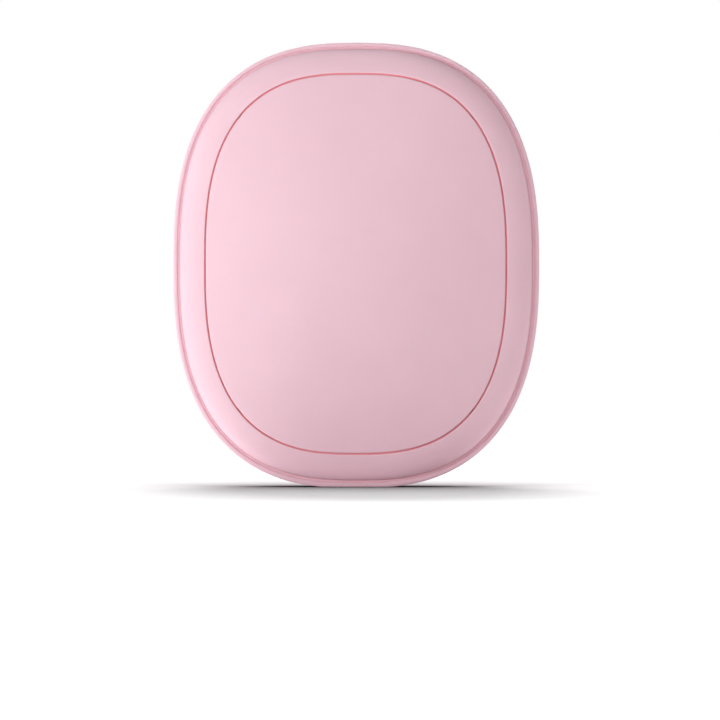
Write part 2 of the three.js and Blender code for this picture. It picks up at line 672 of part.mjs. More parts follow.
// Inner carrier: a shelf behind the board, a wall round the cell and a boss for each screw
function innerCarrier() {
  const shelf = slab(CARRIER_INSET, BOARD_REAR, CARRIER_REAR);
  const wall = block(
    [-WALL_HALF_WIDTH, -CARRIER_FRONT, -WALL_HALF_HEIGHT],
    [WALL_HALF_WIDTH, CARRIER_REAR, WALL_HALF_HEIGHT],
  ).intersect(slab(CARRIER_INSET, -CARRIER_FRONT, CARRIER_REAR));
  const window = block(
    [-WINDOW_HALF_WIDTH, -CARRIER_FRONT - OVERRUN, -WINDOW_HALF_HEIGHT],
    [WINDOW_HALF_WIDTH, CARRIER_REAR + OVERRUN, WINDOW_HALF_HEIGHT],
  );
  const bosses = POSTS.map(([x, z]) => rod(POST_RADIUS, -CARRIER_FRONT, CARRIER_REAR, x, z));
  const holes = POSTS.map(([x, z]) =>
    rod(SCREW_RADIUS + HOLE_CLEARANCE, -CARRIER_FRONT - OVERRUN, CARRIER_REAR + OVERRUN, x, z),
  );
  const bossEnd = LEDGE_BOTTOM - BOARD_BOSS_GAP;
  const boardBosses = BOARD_SCREWS.map(([x, z]) =>
    rod(BOARD_BOSS_RADIUS, BOARD_REAR, bossEnd, x, z),
  );
  const boardHoles = BOARD_SCREWS.map(([x, z]) =>
    rod(BOARD_SCREW_RADIUS + HOLE_CLEARANCE, BOARD_REAR - OVERRUN, bossEnd + OVERRUN, x, z),
  );
  const leadWindow = block(
    [-SENSOR_X - NOTCH_MARGIN, BOARD_REAR - OVERRUN, WALL_HALF_HEIGHT],
    [
      -HEATER_LEAD_X[0] + NOTCH_MARGIN,
      CARRIER_REAR + OVERRUN,
      FILM_PAD_Z + NOTCH_MARGIN,
    ],
  );
  const leadNotch = block(
    [BATTERY_LEAD_X[1] - NOTCH_MARGIN, -CARRIER_FRONT - OVERRUN, 0],
    [BATTERY_LEAD_X[0] + NOTCH_MARGIN, LEAD_NOTCH_DEPTH - CARRIER_FRONT, BOARD_BOTTOM],
  );
  return cut(join([shelf, wall, ...bosses, ...boardBosses]), [
    window,
    ...holes,
    ...boardHoles,
    leadWindow,
    leadNotch,
  ]);
}

// Pouch cell with bevelled edges, shorter than its window by the room for the guard board
function pouchCell() {
  const top = CELL_HALF_HEIGHT - GUARD_ROOM;
  const inside = CELL_FACE - CELL_EDGE;
  const section = (half, y) => [
    new THREE.Vector3(-half, y, -CELL_HALF_HEIGHT + CELL_HALF_WIDTH - half),
    new THREE.Vector3(half, y, -CELL_HALF_HEIGHT + CELL_HALF_WIDTH - half),
    new THREE.Vector3(half, y, top),
    new THREE.Vector3(-half, y, top),
  ];
  const narrow = CELL_HALF_WIDTH - CELL_EDGE;
  const rings = [
    section(narrow, -CELL_FACE),
    section(CELL_HALF_WIDTH, -inside),
    section(CELL_HALF_WIDTH, inside),
    section(narrow, CELL_FACE),
  ];
  const middle = (top - CELL_HALF_HEIGHT) / 2;
  return loft(rings, [
    new THREE.Vector3(0, -CELL_FACE, middle),
    new THREE.Vector3(0, CELL_FACE, middle),
  ]);
}

// The cell, its two tabs, the guard board across its top and the leads to the main board
function battery() {
  const group = new THREE.Group();
  const cellTop = CELL_HALF_HEIGHT - GUARD_ROOM;
  const guardBottom = cellTop + TAB_HEIGHT;
  const guardTop = guardBottom + GUARD_BOARD_THICKNESS;
  const guardHalf = CELL_HALF_WIDTH * GUARD_BOARD_SHARE;
  group.add(piece("battery_cell", pouchCell(), CELL_FOIL));
  ["positive", "negative"].forEach((pole, k) => {
    const tabX = CELL_HALF_WIDTH * TAB_SHARE * (k === 0 ? 1 : -1);
    const tab = block([-TAB_WIDTH / 2, -TAB_DEPTH / 2, 0], [TAB_WIDTH / 2, TAB_DEPTH / 2, TAB_HEIGHT]);
    const tabPiece = piece(`battery_tab_${pole}`, tab, NICKEL);
    tabPiece.position.set(tabX, 0, cellTop);
    group.add(tabPiece);
    const x = BATTERY_LEAD_X[k];
    const start = guardTop + LEAD_GAP;
    const over = LEAD_NOTCH_DEPTH - CARRIER_FRONT - LEAD_RADIUS - LEAD_GAP;
    const points = [
      [x, 0, start],
      [x, over, (start + BOARD_BOTTOM) / 2],
      [x, over, BOARD_BOTTOM],
      [x, BOARD_FRONT - LEAD_RADIUS - LEAD_GAP, PAD_Z],
    ];
    const material = k === 0 ? RED_SILICONE : BLACK_SILICONE;
    group.add(piece(`battery_lead_${pole}`, lead(points, roundSection), material));
  });
  const guardBoard = block(
    [-guardHalf, -GUARD_BOARD_DEPTH / 2, guardBottom],
    [guardHalf, GUARD_BOARD_DEPTH / 2, guardTop],
  );
  group.add(piece("battery_guard_board", guardBoard, BOARD_GREEN));
  return group;
}

// Main board: the top follows the frame, and the sides stay between the posts
function mainBoard() {
  const outline = slab(BOARD_INSET, BOARD_FRONT, BOARD_REAR);
  const bounds = block(
    [-BOARD_HALF_WIDTH, BOARD_FRONT - OVERRUN, BOARD_BOTTOM],
    [BOARD_HALF_WIDTH, BOARD_REAR + OVERRUN, CASE_HEIGHT],
  );
  const holes = BOARD_SCREWS.map(([x, z]) =>
    rod(BOARD_SCREW_RADIUS + HOLE_CLEARANCE, BOARD_FRONT - OVERRUN, BOARD_REAR + OVERRUN, x, z),
  );
  return cut(outline.intersect(bounds), holes);
}

// Charging socket: a pressed steel shell, open at the top
function socketShell() {
  const top = CASE_HEIGHT / 2 - SOCKET_SINK;
  const bottom = top - SOCKET_LENGTH;
  const outside = pill(SOCKET_WIDTH, SOCKET_DEPTH, bottom, top, 0);
  const width = SOCKET_WIDTH - 2 * SOCKET_WALL;
  const depth = SOCKET_DEPTH - 2 * SOCKET_WALL;
  return cut(outside, [pill(width, depth, bottom - OVERRUN, top + OVERRUN, 0)]);
}

// The moulded insert of the socket: its base, and the tongue that carries the contacts
function socketInsert() {
  const top = CASE_HEIGHT / 2 - SOCKET_SINK;
  const bottom = top - SOCKET_LENGTH;
  const wall = SOCKET_WALL + INSERT_GAP;
  const base = pill(
    SOCKET_WIDTH - 2 * wall,
    SOCKET_DEPTH - 2 * wall,
    bottom,
    bottom + INSERT_BASE,
    0,
  );
  const tongue = block(
    [-TONGUE_WIDTH / 2, -TONGUE_DEPTH / 2, bottom],
    [TONGUE_WIDTH / 2, TONGUE_DEPTH / 2, top - TONGUE_SINK],
  );
  return base.add(tongue);
}

// Power button: a pill-shaped cap flush with the rim, with a flange that keeps it in
function powerButton() {
  const cap = pill(BUTTON_WIDTH, BUTTON_DEPTH, FLANGE_BOTTOM, CASE_HEIGHT, BUTTON_X);
  const trimmed = cap.intersect(slab(FACE_SINK, -RIM_DEPTH, RIM_DEPTH));
  const flangeHalf = BUTTON_WIDTH / 2 + BUTTON_FLANGE;
  const flange = block(
    [BUTTON_X - flangeHalf, -BUTTON_DEPTH / 2 - BUTTON_FLANGE, FLANGE_BOTTOM],
    [BUTTON_X + flangeHalf, BOARD_FRONT - BUTTON_CLEARANCE, FLANGE_TOP],
  );
  const nub = block(
    [BUTTON_X - BUTTON_NUB_WIDTH / 2, SWITCH_Y - BUTTON_NUB_DEPTH / 2, NUB_BOTTOM],
    [BUTTON_X + BUTTON_NUB_WIDTH / 2, SWITCH_Y + BUTTON_NUB_DEPTH / 2, FLANGE_TOP],
  );
  return join([trimmed, flange, nub]);
}

// Switch base: a block on the board with a pocket for the plunger and its spring
function switchBase() {
  const half = SWITCH_WIDTH / 2;
  const body = block(
    [BUTTON_X - half, SWITCH_FRONT, SWITCH_BOTTOM],
    [BUTTON_X + half, BOARD_FRONT, SWITCH_TOP],
  );
  const pocket = block(
    [BUTTON_X - POCKET_HALF_WIDTH, SWITCH_Y - POCKET_HALF_DEPTH, SPRING_FOOT],
    [BUTTON_X + POCKET_HALF_WIDTH, SWITCH_Y + POCKET_HALF_DEPTH, SWITCH_TOP + OVERRUN],
  );
  return cut(body, [pocket]);
}

function switchPlunger() {
  const half = PLUNGER_WIDTH / 2;
  return block(
    [BUTTON_X - half, SWITCH_Y - PLUNGER_DEPTH / 2, SWITCH_TOP - PLUNGER_IN],
    [BUTTON_X + half, SWITCH_Y + PLUNGER_DEPTH / 2, PLUNGER_TOP],
  );
}

// The snap spring under the plunger: a thin leaf bent to a low arch
function switchSpring() {
  const half = PLUNGER_WIDTH / 2;
  const arch = (x) => SPRING_FOOT + SPRING_RISE * Math.cos((x / half) * (Math.PI / 2));
  const outline = new THREE.Shape();
  outline.moveTo(-half, SPRING_FOOT);
  for (let k = 1; k <= SPRING_STEPS; k++) {
    const x = -half + (2 * half * k) / SPRING_STEPS;
    outline.lineTo(x, arch(x));
  }
  for (let k = SPRING_STEPS; k >= 0; k--) {
    const x = -half + (2 * half * k) / SPRING_STEPS;
    outline.lineTo(x, arch(x) + SPRING_THICKNESS);
  }
  const leaf = new THREE.ExtrudeGeometry(outline, { depth: PLUNGER_DEPTH, bevelEnabled: false });
  return toSolid(leaf.rotateX(Math.PI / 2).translate(BUTTON_X, SWITCH_Y + PLUNGER_DEPTH / 2, 0));
}

// Light guide: a clear bar on the board with a prong up through the rim for each light
function lightGuide() {
  const bar = block(
    [GUIDE_BAR_END, -GUIDE_BAR_FRONT, GUIDE_BAR_BOTTOM],
    [LED_X[0] + GUIDE_BAR_MARGIN, BOARD_FRONT, GUIDE_BAR_TOP],
  );
  const prongs = LED_X.map((x) => pin(PRONG_RADIUS, GUIDE_BAR_BOTTOM, CASE_HEIGHT, x, 0));
  const trimmed = join(prongs).intersect(slab(FACE_SINK, -RIM_DEPTH, RIM_DEPTH));
  return bar.add(trimmed);
}

// A chip on the front of the board, with the same number of pins above and below
function chip({ width, height, length, pins }) {
  const body = block([-width / 2, -height, -length / 2], [width / 2, 0, length / 2]);
  const pitch = width / pins;
  const legs = [];
  for (let k = 0; k < pins; k++) {
    const x = pitch * (k + 1 / 2) - width / 2;
    const reach = length / 2 + PIN_REACH;
    legs.push(
      block([x - PIN_WIDTH / 2, -PIN_THICKNESS, -reach], [x + PIN_WIDTH / 2, 0, reach]),
    );
  }
  return join([body, ...legs]);
}

// Power inductor: a ferrite block with cut corners and a round lid
function inductor() {
  const { side, height, edge, radius, rim } = INDUCTOR;
  const near = side / 2;
  const far = near - edge;
  const outline = new THREE.Shape(
    [
      [near, far],
      [far, near],
      [-far, near],
      [-near, far],
      [-near, -far],
      [-far, -near],
      [far, -near],
      [near, -far],
    ].map(([x, y]) => new THREE.Vector2(x, y)),
  );
  const depth = height - rim;
  const core = new THREE.ExtrudeGeometry(outline, { depth, bevelEnabled: false });
  const body = toSolid(core.rotateX(Math.PI / 2));
  return body.add(rod(radius, -height, -rim, 0, 0));
}

function capacitor() {
  const { width, height, length } = CAPACITOR;
  return block([-width / 2, -height, -length / 2], [width / 2, 0, length / 2]);
}

// Everything that is soldered or screwed to the main board
function electronics() {
  const group = new THREE.Group();
  const place = (name, solid, material, [x, z]) => {
    const part = piece(name, solid, material);
    part.position.set(x, BOARD_FRONT, z);
    group.add(part);
  };
  group.add(piece("main_board", mainBoard(), BOARD_GREEN));
  group.add(piece("charging_socket_shell", socketShell(), NICKEL));
  group.add(piece("charging_socket_insert", socketInsert(), BLACK_PLASTIC));
  group.add(piece("switch_base", switchBase(), BLACK_PLASTIC));
  group.add(piece("switch_plunger", switchPlunger(), WHITE_PLASTIC));
  group.add(piece("switch_spring", switchSpring(), STEEL));
  group.add(piece("light_guide", lightGuide(), CLEAR_PLASTIC));
  place("charge_chip", chip(CHARGE_CHIP), BLACK_PLASTIC, [CHARGE_CHIP_X, CHIP_Z]);
  place("control_chip", chip(CONTROL_CHIP), BLACK_PLASTIC, [CONTROL_CHIP_X, CHIP_Z]);
  place("power_inductor", inductor(), FERRITE, [INDUCTOR_X, CHIP_Z]);
  ["front", "rear"].forEach((side, k) => {
    const x = k === 0 ? -HEATER_SWITCH_X : HEATER_SWITCH_X;
    const name = `${side}_heater_transistor`;
    place(name, chip(HEATER_SWITCH), BLACK_PLASTIC, [x, HEATER_SWITCH_Z]);
  });
  ["input", "output"].forEach((role, k) => {
    const [x, z] = CAPACITOR_SHARES[k];
    place(`${role}_capacitor`, capacitor(), CERAMIC, [boardX(x), boardZ(z)]);
  });
  LED_X.forEach((x, k) => {
    const led = block([-LED_WIDTH / 2, -LED_DEPTH, -LED_HEIGHT], [LED_WIDTH / 2, 0, 0]);
    place(`status_led_${k + 1}`, led, LED_WHITE, [x, LED_TOP]);
  });
  BOARD_SCREWS.forEach(([x, z], k) => {
    const solid = screw(
      BOARD_SCREW_RADIUS,
      BOARD_SCREW_LENGTH,
      BOARD_SCREW_HEAD_RADIUS,
      BOARD_SCREW_HEAD_HEIGHT,
    );
    place(`board_screw_${k + 1}`, solid, STEEL, [x, z]);
  });
  return group;
}

// The case: frame, shells, panels, button and the screws that hold it together
function housing() {
  const group = new THREE.Group();
  group.add(piece("middle_frame", middleFrame(), PINK_PLASTIC));
  group.add(piece("front_shell", shell(CARRIER_FRONT, [SCREW_SEAT]), PINK_PLASTIC));
  group.add(piece("front_panel", panel(), PINK_PLASTIC));
  group.add(piece("inner_carrier", innerCarrier(), WHITE_PLASTIC));
  group.add(piece("power_button", powerButton(), PINK_PLASTIC));
  POSTS.forEach(([x, z], k) => {
    const solid = screw(SCREW_RADIUS, SCREW_LENGTH, SCREW_HEAD_RADIUS, SCREW_HEAD_HEIGHT);
    const caseScrew = piece(`case_screw_${k + 1}`, solid, STEEL);
    caseScrew.position.set(x, -SCREW_SEAT, z);
    group.add(caseScrew);
  });
  const rear = new THREE.Group();
  rear.rotation.z = Math.PI;
  rear.add(piece("rear_shell", shell(CARRIER_REAR, []), PINK_PLASTIC));
  rear.add(piece("rear_panel", panel(), PINK_PLASTIC));
  group.add(rear);
  return group;
}

const handWarmer = new THREE.Group();
handWarmer.position.z = CASE_HEIGHT / 2;
const rearHeating = heatingSide("rear", BOARD_REAR);
rearHeating.rotation.z = Math.PI;
handWarmer.add(housing(), heatingSide("front", -BOARD_FRONT), rearHeating, battery(), electronics());

export default handWarmer;
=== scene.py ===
"""Looks of the rechargeable hand warmer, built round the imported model.

Lengths are in millimetres and in the case frame: X to the right, Y to the rear, Z up, with the
origin at the case's mid-height. A finished mesh is turned to metres in the row frame.
"""

import json
import math

import bmesh
import bpy
from mathutils import Matrix, Vector

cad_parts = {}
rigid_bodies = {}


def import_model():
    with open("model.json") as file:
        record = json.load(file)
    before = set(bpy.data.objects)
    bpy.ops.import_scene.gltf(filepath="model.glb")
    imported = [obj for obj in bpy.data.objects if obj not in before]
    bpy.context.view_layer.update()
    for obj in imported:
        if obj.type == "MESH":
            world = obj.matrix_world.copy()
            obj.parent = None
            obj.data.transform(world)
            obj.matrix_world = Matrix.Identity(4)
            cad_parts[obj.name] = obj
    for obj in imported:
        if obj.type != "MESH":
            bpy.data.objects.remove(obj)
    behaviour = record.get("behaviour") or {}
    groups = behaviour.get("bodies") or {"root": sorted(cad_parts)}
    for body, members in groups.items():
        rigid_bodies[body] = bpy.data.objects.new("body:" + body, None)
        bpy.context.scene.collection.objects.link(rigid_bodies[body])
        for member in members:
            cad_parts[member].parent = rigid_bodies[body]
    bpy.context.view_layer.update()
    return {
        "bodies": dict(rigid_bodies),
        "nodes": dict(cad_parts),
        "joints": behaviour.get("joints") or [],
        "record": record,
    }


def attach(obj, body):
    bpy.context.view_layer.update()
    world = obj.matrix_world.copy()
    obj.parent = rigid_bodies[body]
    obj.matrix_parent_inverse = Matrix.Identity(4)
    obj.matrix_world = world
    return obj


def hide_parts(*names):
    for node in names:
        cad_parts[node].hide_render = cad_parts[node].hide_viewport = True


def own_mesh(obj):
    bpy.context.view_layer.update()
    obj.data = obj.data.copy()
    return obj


MM = 0.001
FRONT = -1
REAR = 1
SIDE_NAMES = {FRONT: "front", REAR: "rear"}

# Outline of the case
CASE_WIDTH = 70
CASE_HEIGHT = 85
CASE_DEPTH = 25.5
OUTLINE_POWER = 2.57
SEAM_POWER = 2.7
FOOT_CUT = 0.22

# Middle frame
RIM_DEPTH = 9
RIM_EDGE = 0.4
LIP_WIDTH = 0.8
LIP_EDGE = 0.16
GROOVE_WIDTH = 0.5
GROOVE_DEPTH = 1
GROOVE_SHOWN = 0.18
WEB_REACH = 2.4
FACE_SINK = 0.2
HOLE_FLARE = 0.18
GUIDE_WALL = 1.3

# Shells and panels
SHELL_WALL = 1.6
SIDE_RISE = 1
SEAM_INSET = 6.2
SEAM_GAP = 0.3
SEAM_EDGE = 0.2
SEAM_DEPTH = 0.5
PANEL_PROUD = 0.12
BAND_EDGE = 0.08
BAND_EDGE_ANGLE = 75
DOME_RISE_SHARE = 0.17
LEDGE_WIDTH = 3.6
LEDGE_WALL = 1.3
SHOULDER_SHARES = (0.42, 0.4, 0.19)
INNER_CORNER_SHARE = 0.45
PANEL_EDGE = 1.6
PANEL_WALL = 1.5
POCKET_GAP = 0.4
RIB_GAP = 0.04

# Screw posts and screws
SCREW_SHARE = 0.6
SCREW_DROP = 15.8
SCREW_END_GAP = 1
SCREW_SEAT_DEPTH = 2.6
SCREW_SEAT_WALL = 1.2
SCREW_RADIUS = 1
SCREW_HEAD_RADIUS = 1.75
SCREW_HEAD_HEIGHT = 1.3
POST_RADIUS = 2.4
POST_GAP = 0.5
HOLE_CLEARANCE = 0.3

# Heater films and foam pads
FILM_GAP = 0.3
FILM_THICKNESS = 0.4
FILM_MARGIN = 0.9
FOAM_MARGIN = 1.4
FOAM_GAP = 0.3

# Carrier, cell and board
CARRIER_WALL = 1.2
CARRIER_GAP = 0.35
CELL_ROOM = 1
CELL_GAP = 0.3
CELL_EDGE = 1.2
GUARD_ROOM = 2.6
GUARD_BOARD_THICKNESS = 0.8
TAB_HEIGHT = 0.8
BOARD_THICKNESS = 1
BOARD_GAP = 0.4
BOARD_SCREW_RADIUS = 0.8
BOARD_SCREW_LENGTH = 3
BOARD_SCREW_HEAD_RADIUS = 1.5
BOARD_SCREW_HEAD_HEIGHT = 0.8
BOARD_SCREW_SHARES = (0.86, 0.17)

# Charging socket
SOCKET_WIDTH = 8.94
SOCKET_DEPTH = 3.26
SOCKET_WALL = 0.32
SOCKET_LENGTH = 8.6
SOCKET_SINK = 0.5
SOCKET_CLEARANCE = 0.2
TONGUE_WIDTH = 6.69
TONGUE_DEPTH = 0.7
TONGUE_SINK = 0.9
TONGUE_EDGE = 0.15
INSERT_BASE = 2.2
INSERT_GAP = 0.05
CONTACTS = 12
CONTACT_PITCH = 0.5
CONTACT_WIDTH = 0.26
CONTACT_LENGTH = 4.2
CONTACT_SINK = 0.5
CONTACT_RISE = 0.05

# Power button and its switch
BUTTON_SHARE = 0.33
BUTTON_WIDTH = 7
BUTTON_DEPTH = 2.8
BUTTON_CLEARANCE = 0.2
BUTTON_TRAVEL = 0.4
BUTTON_PLAY = 0.1
BUTTON_FLANGE = 0.9
BUTTON_FLANGE_HEIGHT = 0.8
BUTTON_NUB_WIDTH = 2.6
BUTTON_NUB_DEPTH = 1.2
BUTTON_NUB_HEIGHT = 0.7
BUTTON_EDGE = 0.35
PLUNGER_GAP = 0.2
PLUNGER_WIDTH = 2.4
PLUNGER_DEPTH = 1
PLUNGER_OUT = 0.9
PLUNGER_IN = 1.4
SWITCH_DEPTH = 2.2
SPRING_LEFT = 0.35
SPRING_GAP = 0.1
SPRING_THICKNESS = 0.12
SPRING_STEPS = 28

# Status lights and the clear guide over them
LED_SHARES = (-0.23, -0.3, -0.37, -0.44)
PRONG_RADIUS = 0.65
PRONG_CLEARANCE = 0.15
PRONG_EDGE = 0.25
GUIDE_BAR_HEIGHT = 1.6
GUIDE_BAR_FRONT = 1
GUIDE_BAR_MARGIN = 1
GUIDE_BAR_GAP = 0.2

# Leads and temperature sensors
LEAD_RADIUS = 0.5
LEAD_GAP = 0.3
LEAD_BEND = 0.9
LEAD_NOTCH_DEPTH = 3
RIBBON_WIDTH = 1.3
RIBBON_THICKNESS = 0.6
RIBBON_WAIST_ANGLE = 30
RIBBON_WAIST_SHARE = 2 / 3
PAD_RISE = 1.3
FILM_PAD_RISE = 1.8
SENSOR_RADIUS = 0.8
SENSOR_LENGTH = 3
SENSOR_POLE_ANGLE = 5
HEATER_LEAD_SHARES = (-0.69, -0.56)
SENSOR_SHARE = -0.4
BATTERY_LEAD_SHARES = (0.7, 0.57)

# Screw details
SCREW_DOME_SHARE = 0.45
THREAD_ROOT_SHARE = 0.76
THREAD_PITCH_SHARE = 0.5
RECESS_SHARES = (0.62, 0.16, 0.5)

# Camera
CAMERA_DISTANCE = 700
CAMERA_HEIGHT = 16
CAMERA_TURN = 1.2
CAMERA_LENS = 182.0
CAMERA_AIM = (0.67, 24.3)

# Colours of the case, with the painted shade of its seam and groove
PINK = (234, 194, 206)
# Painted shade: the deeper pink that stands in for the shade in the seam, and the share of it given
# to the groove
SEAM_SHADE_PINK = (248, 152, 162)
GROOVE_SHADE_SHARE = 0.2

# Size in millimetres, detail and strength of the mottling, of the wander of the roughness and of
# the relief, whose strength is its depth in millimetres
MOULDED = ((9, 2, 0.012), (14, 3, 0.03), (0.2, 3, 0.005))
FOIL = ((6, 2, 0.05), (10, 4, 0.07), (4, 4, 0.05))
GLAZE = ((0.9, 2, 0.25), (1.1, 2, 0.05), (0.6, 2, 0.006))
SILICONE = (0.6, (2.5, 2, 0.06), (1.8, 2, 0.06), (0.3, 3, 0.008), {"Sheen Weight": 0.15})

# Further values of the shader
SOFT_DEPTH = {
    "Subsurface Weight": 0.1,
    "Subsurface Scale": 0.5 * MM,
    "Subsurface Radius": (1, 0.35, 0.3),
}
FROSTED = {"Transmission Weight": 0.55, "IOR": 1.49}
FILM_COAT = {"Coat Weight": 0.3, "Coat Roughness": 0.15}
MASK_COAT = {"Coat Weight": 0.4, "Coat Roughness": 0.2}
GLASS_COAT = {"Coat Weight": 0.6, "Coat Roughness": 0.05}
FUZZ = {"Sheen Weight": 0.25, "Sheen Roughness": 0.5}

# Each look but the metals: colour, roughness, the three patterns and the further values as above.
# A colour or pattern that is None is left to a function of the look's own, or left out.
FINISHES = {
    "pink_plastic": (PINK, 0.5, *MOULDED, SOFT_DEPTH),
    "white_plastic": ((232, 230, 225), 0.5, *MOULDED),
    "black_plastic": ((28, 28, 31), 0.48, (9, 2, 0.08), *MOULDED[1:]),
    "clear_plastic": (None, 0.3, None, (1.5, 2, 0.04), (0.8, 2, 0.004), FROSTED),
    "heater_film": ((186, 112, 42), 0.3, (5, 2, 0.08), (7, 3, 0.06), None, FILM_COAT),
    "foam": (None, 0.95, None, (3, 2, 0.04), None, FUZZ),
    "cell_foil": ((190, 193, 197), 0.34, *FOIL, {"Metallic": 0.75}),
    "circuit_board": (None, 0.32, None, (4, 2, 0.05), None, MASK_COAT),
    "chip_black": ((30, 30, 33), 0.55, (0.35, 4, 0.3), (1.2, 2, 0.08), (0.12, 3, 0.01)),
    "ferrite": ((62, 62, 66), 0.8, (0.3, 4, 0.35), (0.8, 2, 0.08), (0.2, 4, 0.03)),
    "ceramic": ((168, 138, 98), 0.45, (0.5, 2, 0.08), (0.7, 2, 0.08), (0.25, 2, 0.008)),
    "led": ((242, 240, 230), 0.3, (0.6, 2, 0.03), (0.8, 2, 0.06), None),
    "red_silicone": ((178, 36, 30), *SILICONE),
    "black_silicone": ((27, 27, 28), *SILICONE),
    "white_silicone": ((230, 227, 220), *SILICONE),
    "sensor_glass": ((46, 34, 28), 0.18, *GLAZE, GLASS_COAT),
}

# Each metal: colour, roughness, width of its streaks in millimetres, and their stretch
METALS = {
    "nickel": ((205, 201, 192), 0.28, 0.3, (1, 1, 0.1)),
    "contact_gold": ((224, 186, 108), 0.25, 0.2, (1, 1, 0.1)),
    "steel": ((176, 178, 182), 0.32, 0.25, (1, 0.2, 1)),
}
STREAK_DETAIL = 3
STREAK_SHADE = 0.06
STREAK_WEAR = 0.08
STREAK_DEPTH = 0.004

# The range that noise mostly keeps to, and two of the distance in a cell
NOISE_RANGE = (0.3, 0.7)
FOAM_RANGE = (0.1, 0.6)
TRACK_RANGE = (0.05, 0.07)

# Patterns that only one look has
HEATER_DARK = (112, 58, 24)
HEATER_PITCH = 2.2
HEATER_LINE_SHARE = 0.62
HEATER_DEPTH = 0.03
FOAM_DARK = (44, 45, 48)
FOAM_LIGHT = (104, 106, 110)
FOAM_CELL = 0.55
FOAM_DEPTH = 0.12
MASK_GREEN = (24, 76, 48)
TRACK_GREEN = (42, 116, 74)
TRACK_CELL = 1.9
TRACK_PITCH_SHARE = 0.13
TRACK_DEPTH = 0.03
TIN = (196, 198, 200)
TIN_START = 0.34
PHOSPHOR = (232, 214, 120)
WINDOW_SHARE = 0.3
WINDOW_DEPTH = 0.04

# Floor and light
FLOOR_SIZE = 6000
FLOOR_SHADE = 248
FLOOR_GLOW = 0.41
THIN_SHADE = 225
CONTACT_REACH = 110
CONTACT_POWER = 2.2
CONTACT_SAMPLES = 8
WORLD_STRENGTH = 0.3
WORLD_COLOUR = (1, 0.97, 0.98)

# Each lamp: name, place and size in millimetres, watts, colour, and whether it shows in gloss
LAMPS = (
    ("key", (-620, -300, 10), (500, 160), 2.95, (0.89, 1, 0.97), False),
    ("shine", (-620, -300, 10), (500, 160), 0.75, (0.89, 1, 0.97), True),
    ("front", (-250, -760, 10), (500, 160), 0.75, (1, 1, 1), True),
    ("top", (0, -150, 650), (500, 500), 0.8, (1, 0.98, 0.985), True),
)

# Soft even light from behind: its power on the object and on the floor alone (it lays the
# shadow), the height and turn of its direction, and its apparent width
REAR_POWER = 1.5
SHADOW_POWER = 2.9
REAR_HEIGHT = 32
REAR_TURN = 4
REAR_SPREAD = 30

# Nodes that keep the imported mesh: the look, how far their edges are rounded, and their names
KEPT_NODES = (
    ("white_plastic", 0.2, "inner_carrier"),
    ("nickel", 0.04, "battery_tab_positive", "battery_tab_negative"),
    ("circuit_board", 0.06, "battery_guard_board"),
    ("circuit_board", 0.08, "main_board"),
    ("black_plastic", 0.12, "switch_base"),
    ("white_plastic", 0.08, "switch_plunger"),
    ("chip_black", 0.07, "charge_chip", "control_chip"),
    ("ferrite", 0.12, "power_inductor"),
    ("chip_black", 0.06, "front_heater_transistor", "rear_heater_transistor"),
    ("ceramic", 0.12, "input_capacitor", "output_capacitor"),
    ("led", 0.06, *[f"status_led_{k + 1}" for k in range(len(LED_SHARES))]),
)

# How finely the meshes are made
AROUND = 288
FILM_AROUND = 144
FILLET_STEPS = 5
SHOULDER_STEPS = 22
DOME_RINGS = 26
PAD_RINGS = 9
HALF_ROUND = 24
STRAIGHT_STEPS = 14
PATH_STEPS = 10
SHARP_ANGLE = math.radians(32)
FOAM_SHARP_ANGLE = math.radians(60)
EDGE_STEPS = 3
SOFT_EDGE_STEPS = 6
KEPT_EDGE_STEPS = 2
OVERRUN = 4
TINY = 0.02
MERGE_DISTANCE = 0.001

# What follows from the sizes above
HALF_WIDTH = CASE_WIDTH / 2
HALF_HEIGHT = CASE_HEIGHT / 2
APEX = CASE_DEPTH / 2
DOME_RISE = CASE_DEPTH * DOME_RISE_SHARE
SEAM_HEIGHT = APEX - DOME_RISE
SEAM_FLOOR = SEAM_HEIGHT - SEAM_DEPTH
GROOVE_FLOOR = RIM_DEPTH / 2 - GROOVE_SHOWN
WEB_HEIGHT = RIM_DEPTH / 2 - GROOVE_DEPTH
FRAME_BORE = LIP_WIDTH + WEB_REACH
SHELL_INSET = LIP_WIDTH + GROOVE_WIDTH
LEDGE_TOP = SEAM_HEIGHT - PANEL_EDGE
LEDGE_BOTTOM = LEDGE_TOP - LEDGE_WALL
LEDGE_INSET = SEAM_INSET + LEDGE_WIDTH
POCKET_INSET = LEDGE_INSET + POCKET_GAP
SCREW_INSET = SEAM_INSET + LEDGE_WIDTH * SCREW_SHARE
SCREW_SEAT = LEDGE_TOP - SCREW_SEAT_DEPTH
SCREW_LENGTH = SCREW_SEAT + LEDGE_TOP - SCREW_END_GAP
CARRIER_INSET = FRAME_BORE + CARRIER_GAP
CARRIER_FRONT = SCREW_SEAT - SCREW_SEAT_WALL
CELL_FACE = LEDGE_BOTTOM - CELL_ROOM
SOCKET_TOP = HALF_HEIGHT - SOCKET_SINK
SOCKET_BOTTOM = SOCKET_TOP - SOCKET_LENGTH
BOARD_FRONT = SOCKET_DEPTH / 2
BOARD_REAR = BOARD_FRONT + BOARD_THICKNESS
CARRIER_REAR = BOARD_REAR + CARRIER_WALL
FILM_OUTER_DROP = PANEL_WALL + FILM_GAP
FILM_INNER_DROP = FILM_OUTER_DROP + FILM_THICKNESS
FOAM_DROP = FILM_INNER_DROP + FOAM_GAP


def outline_power(inset):
    return OUTLINE_POWER + (SEAM_POWER - OUTLINE_POWER) * inset / SEAM_INSET


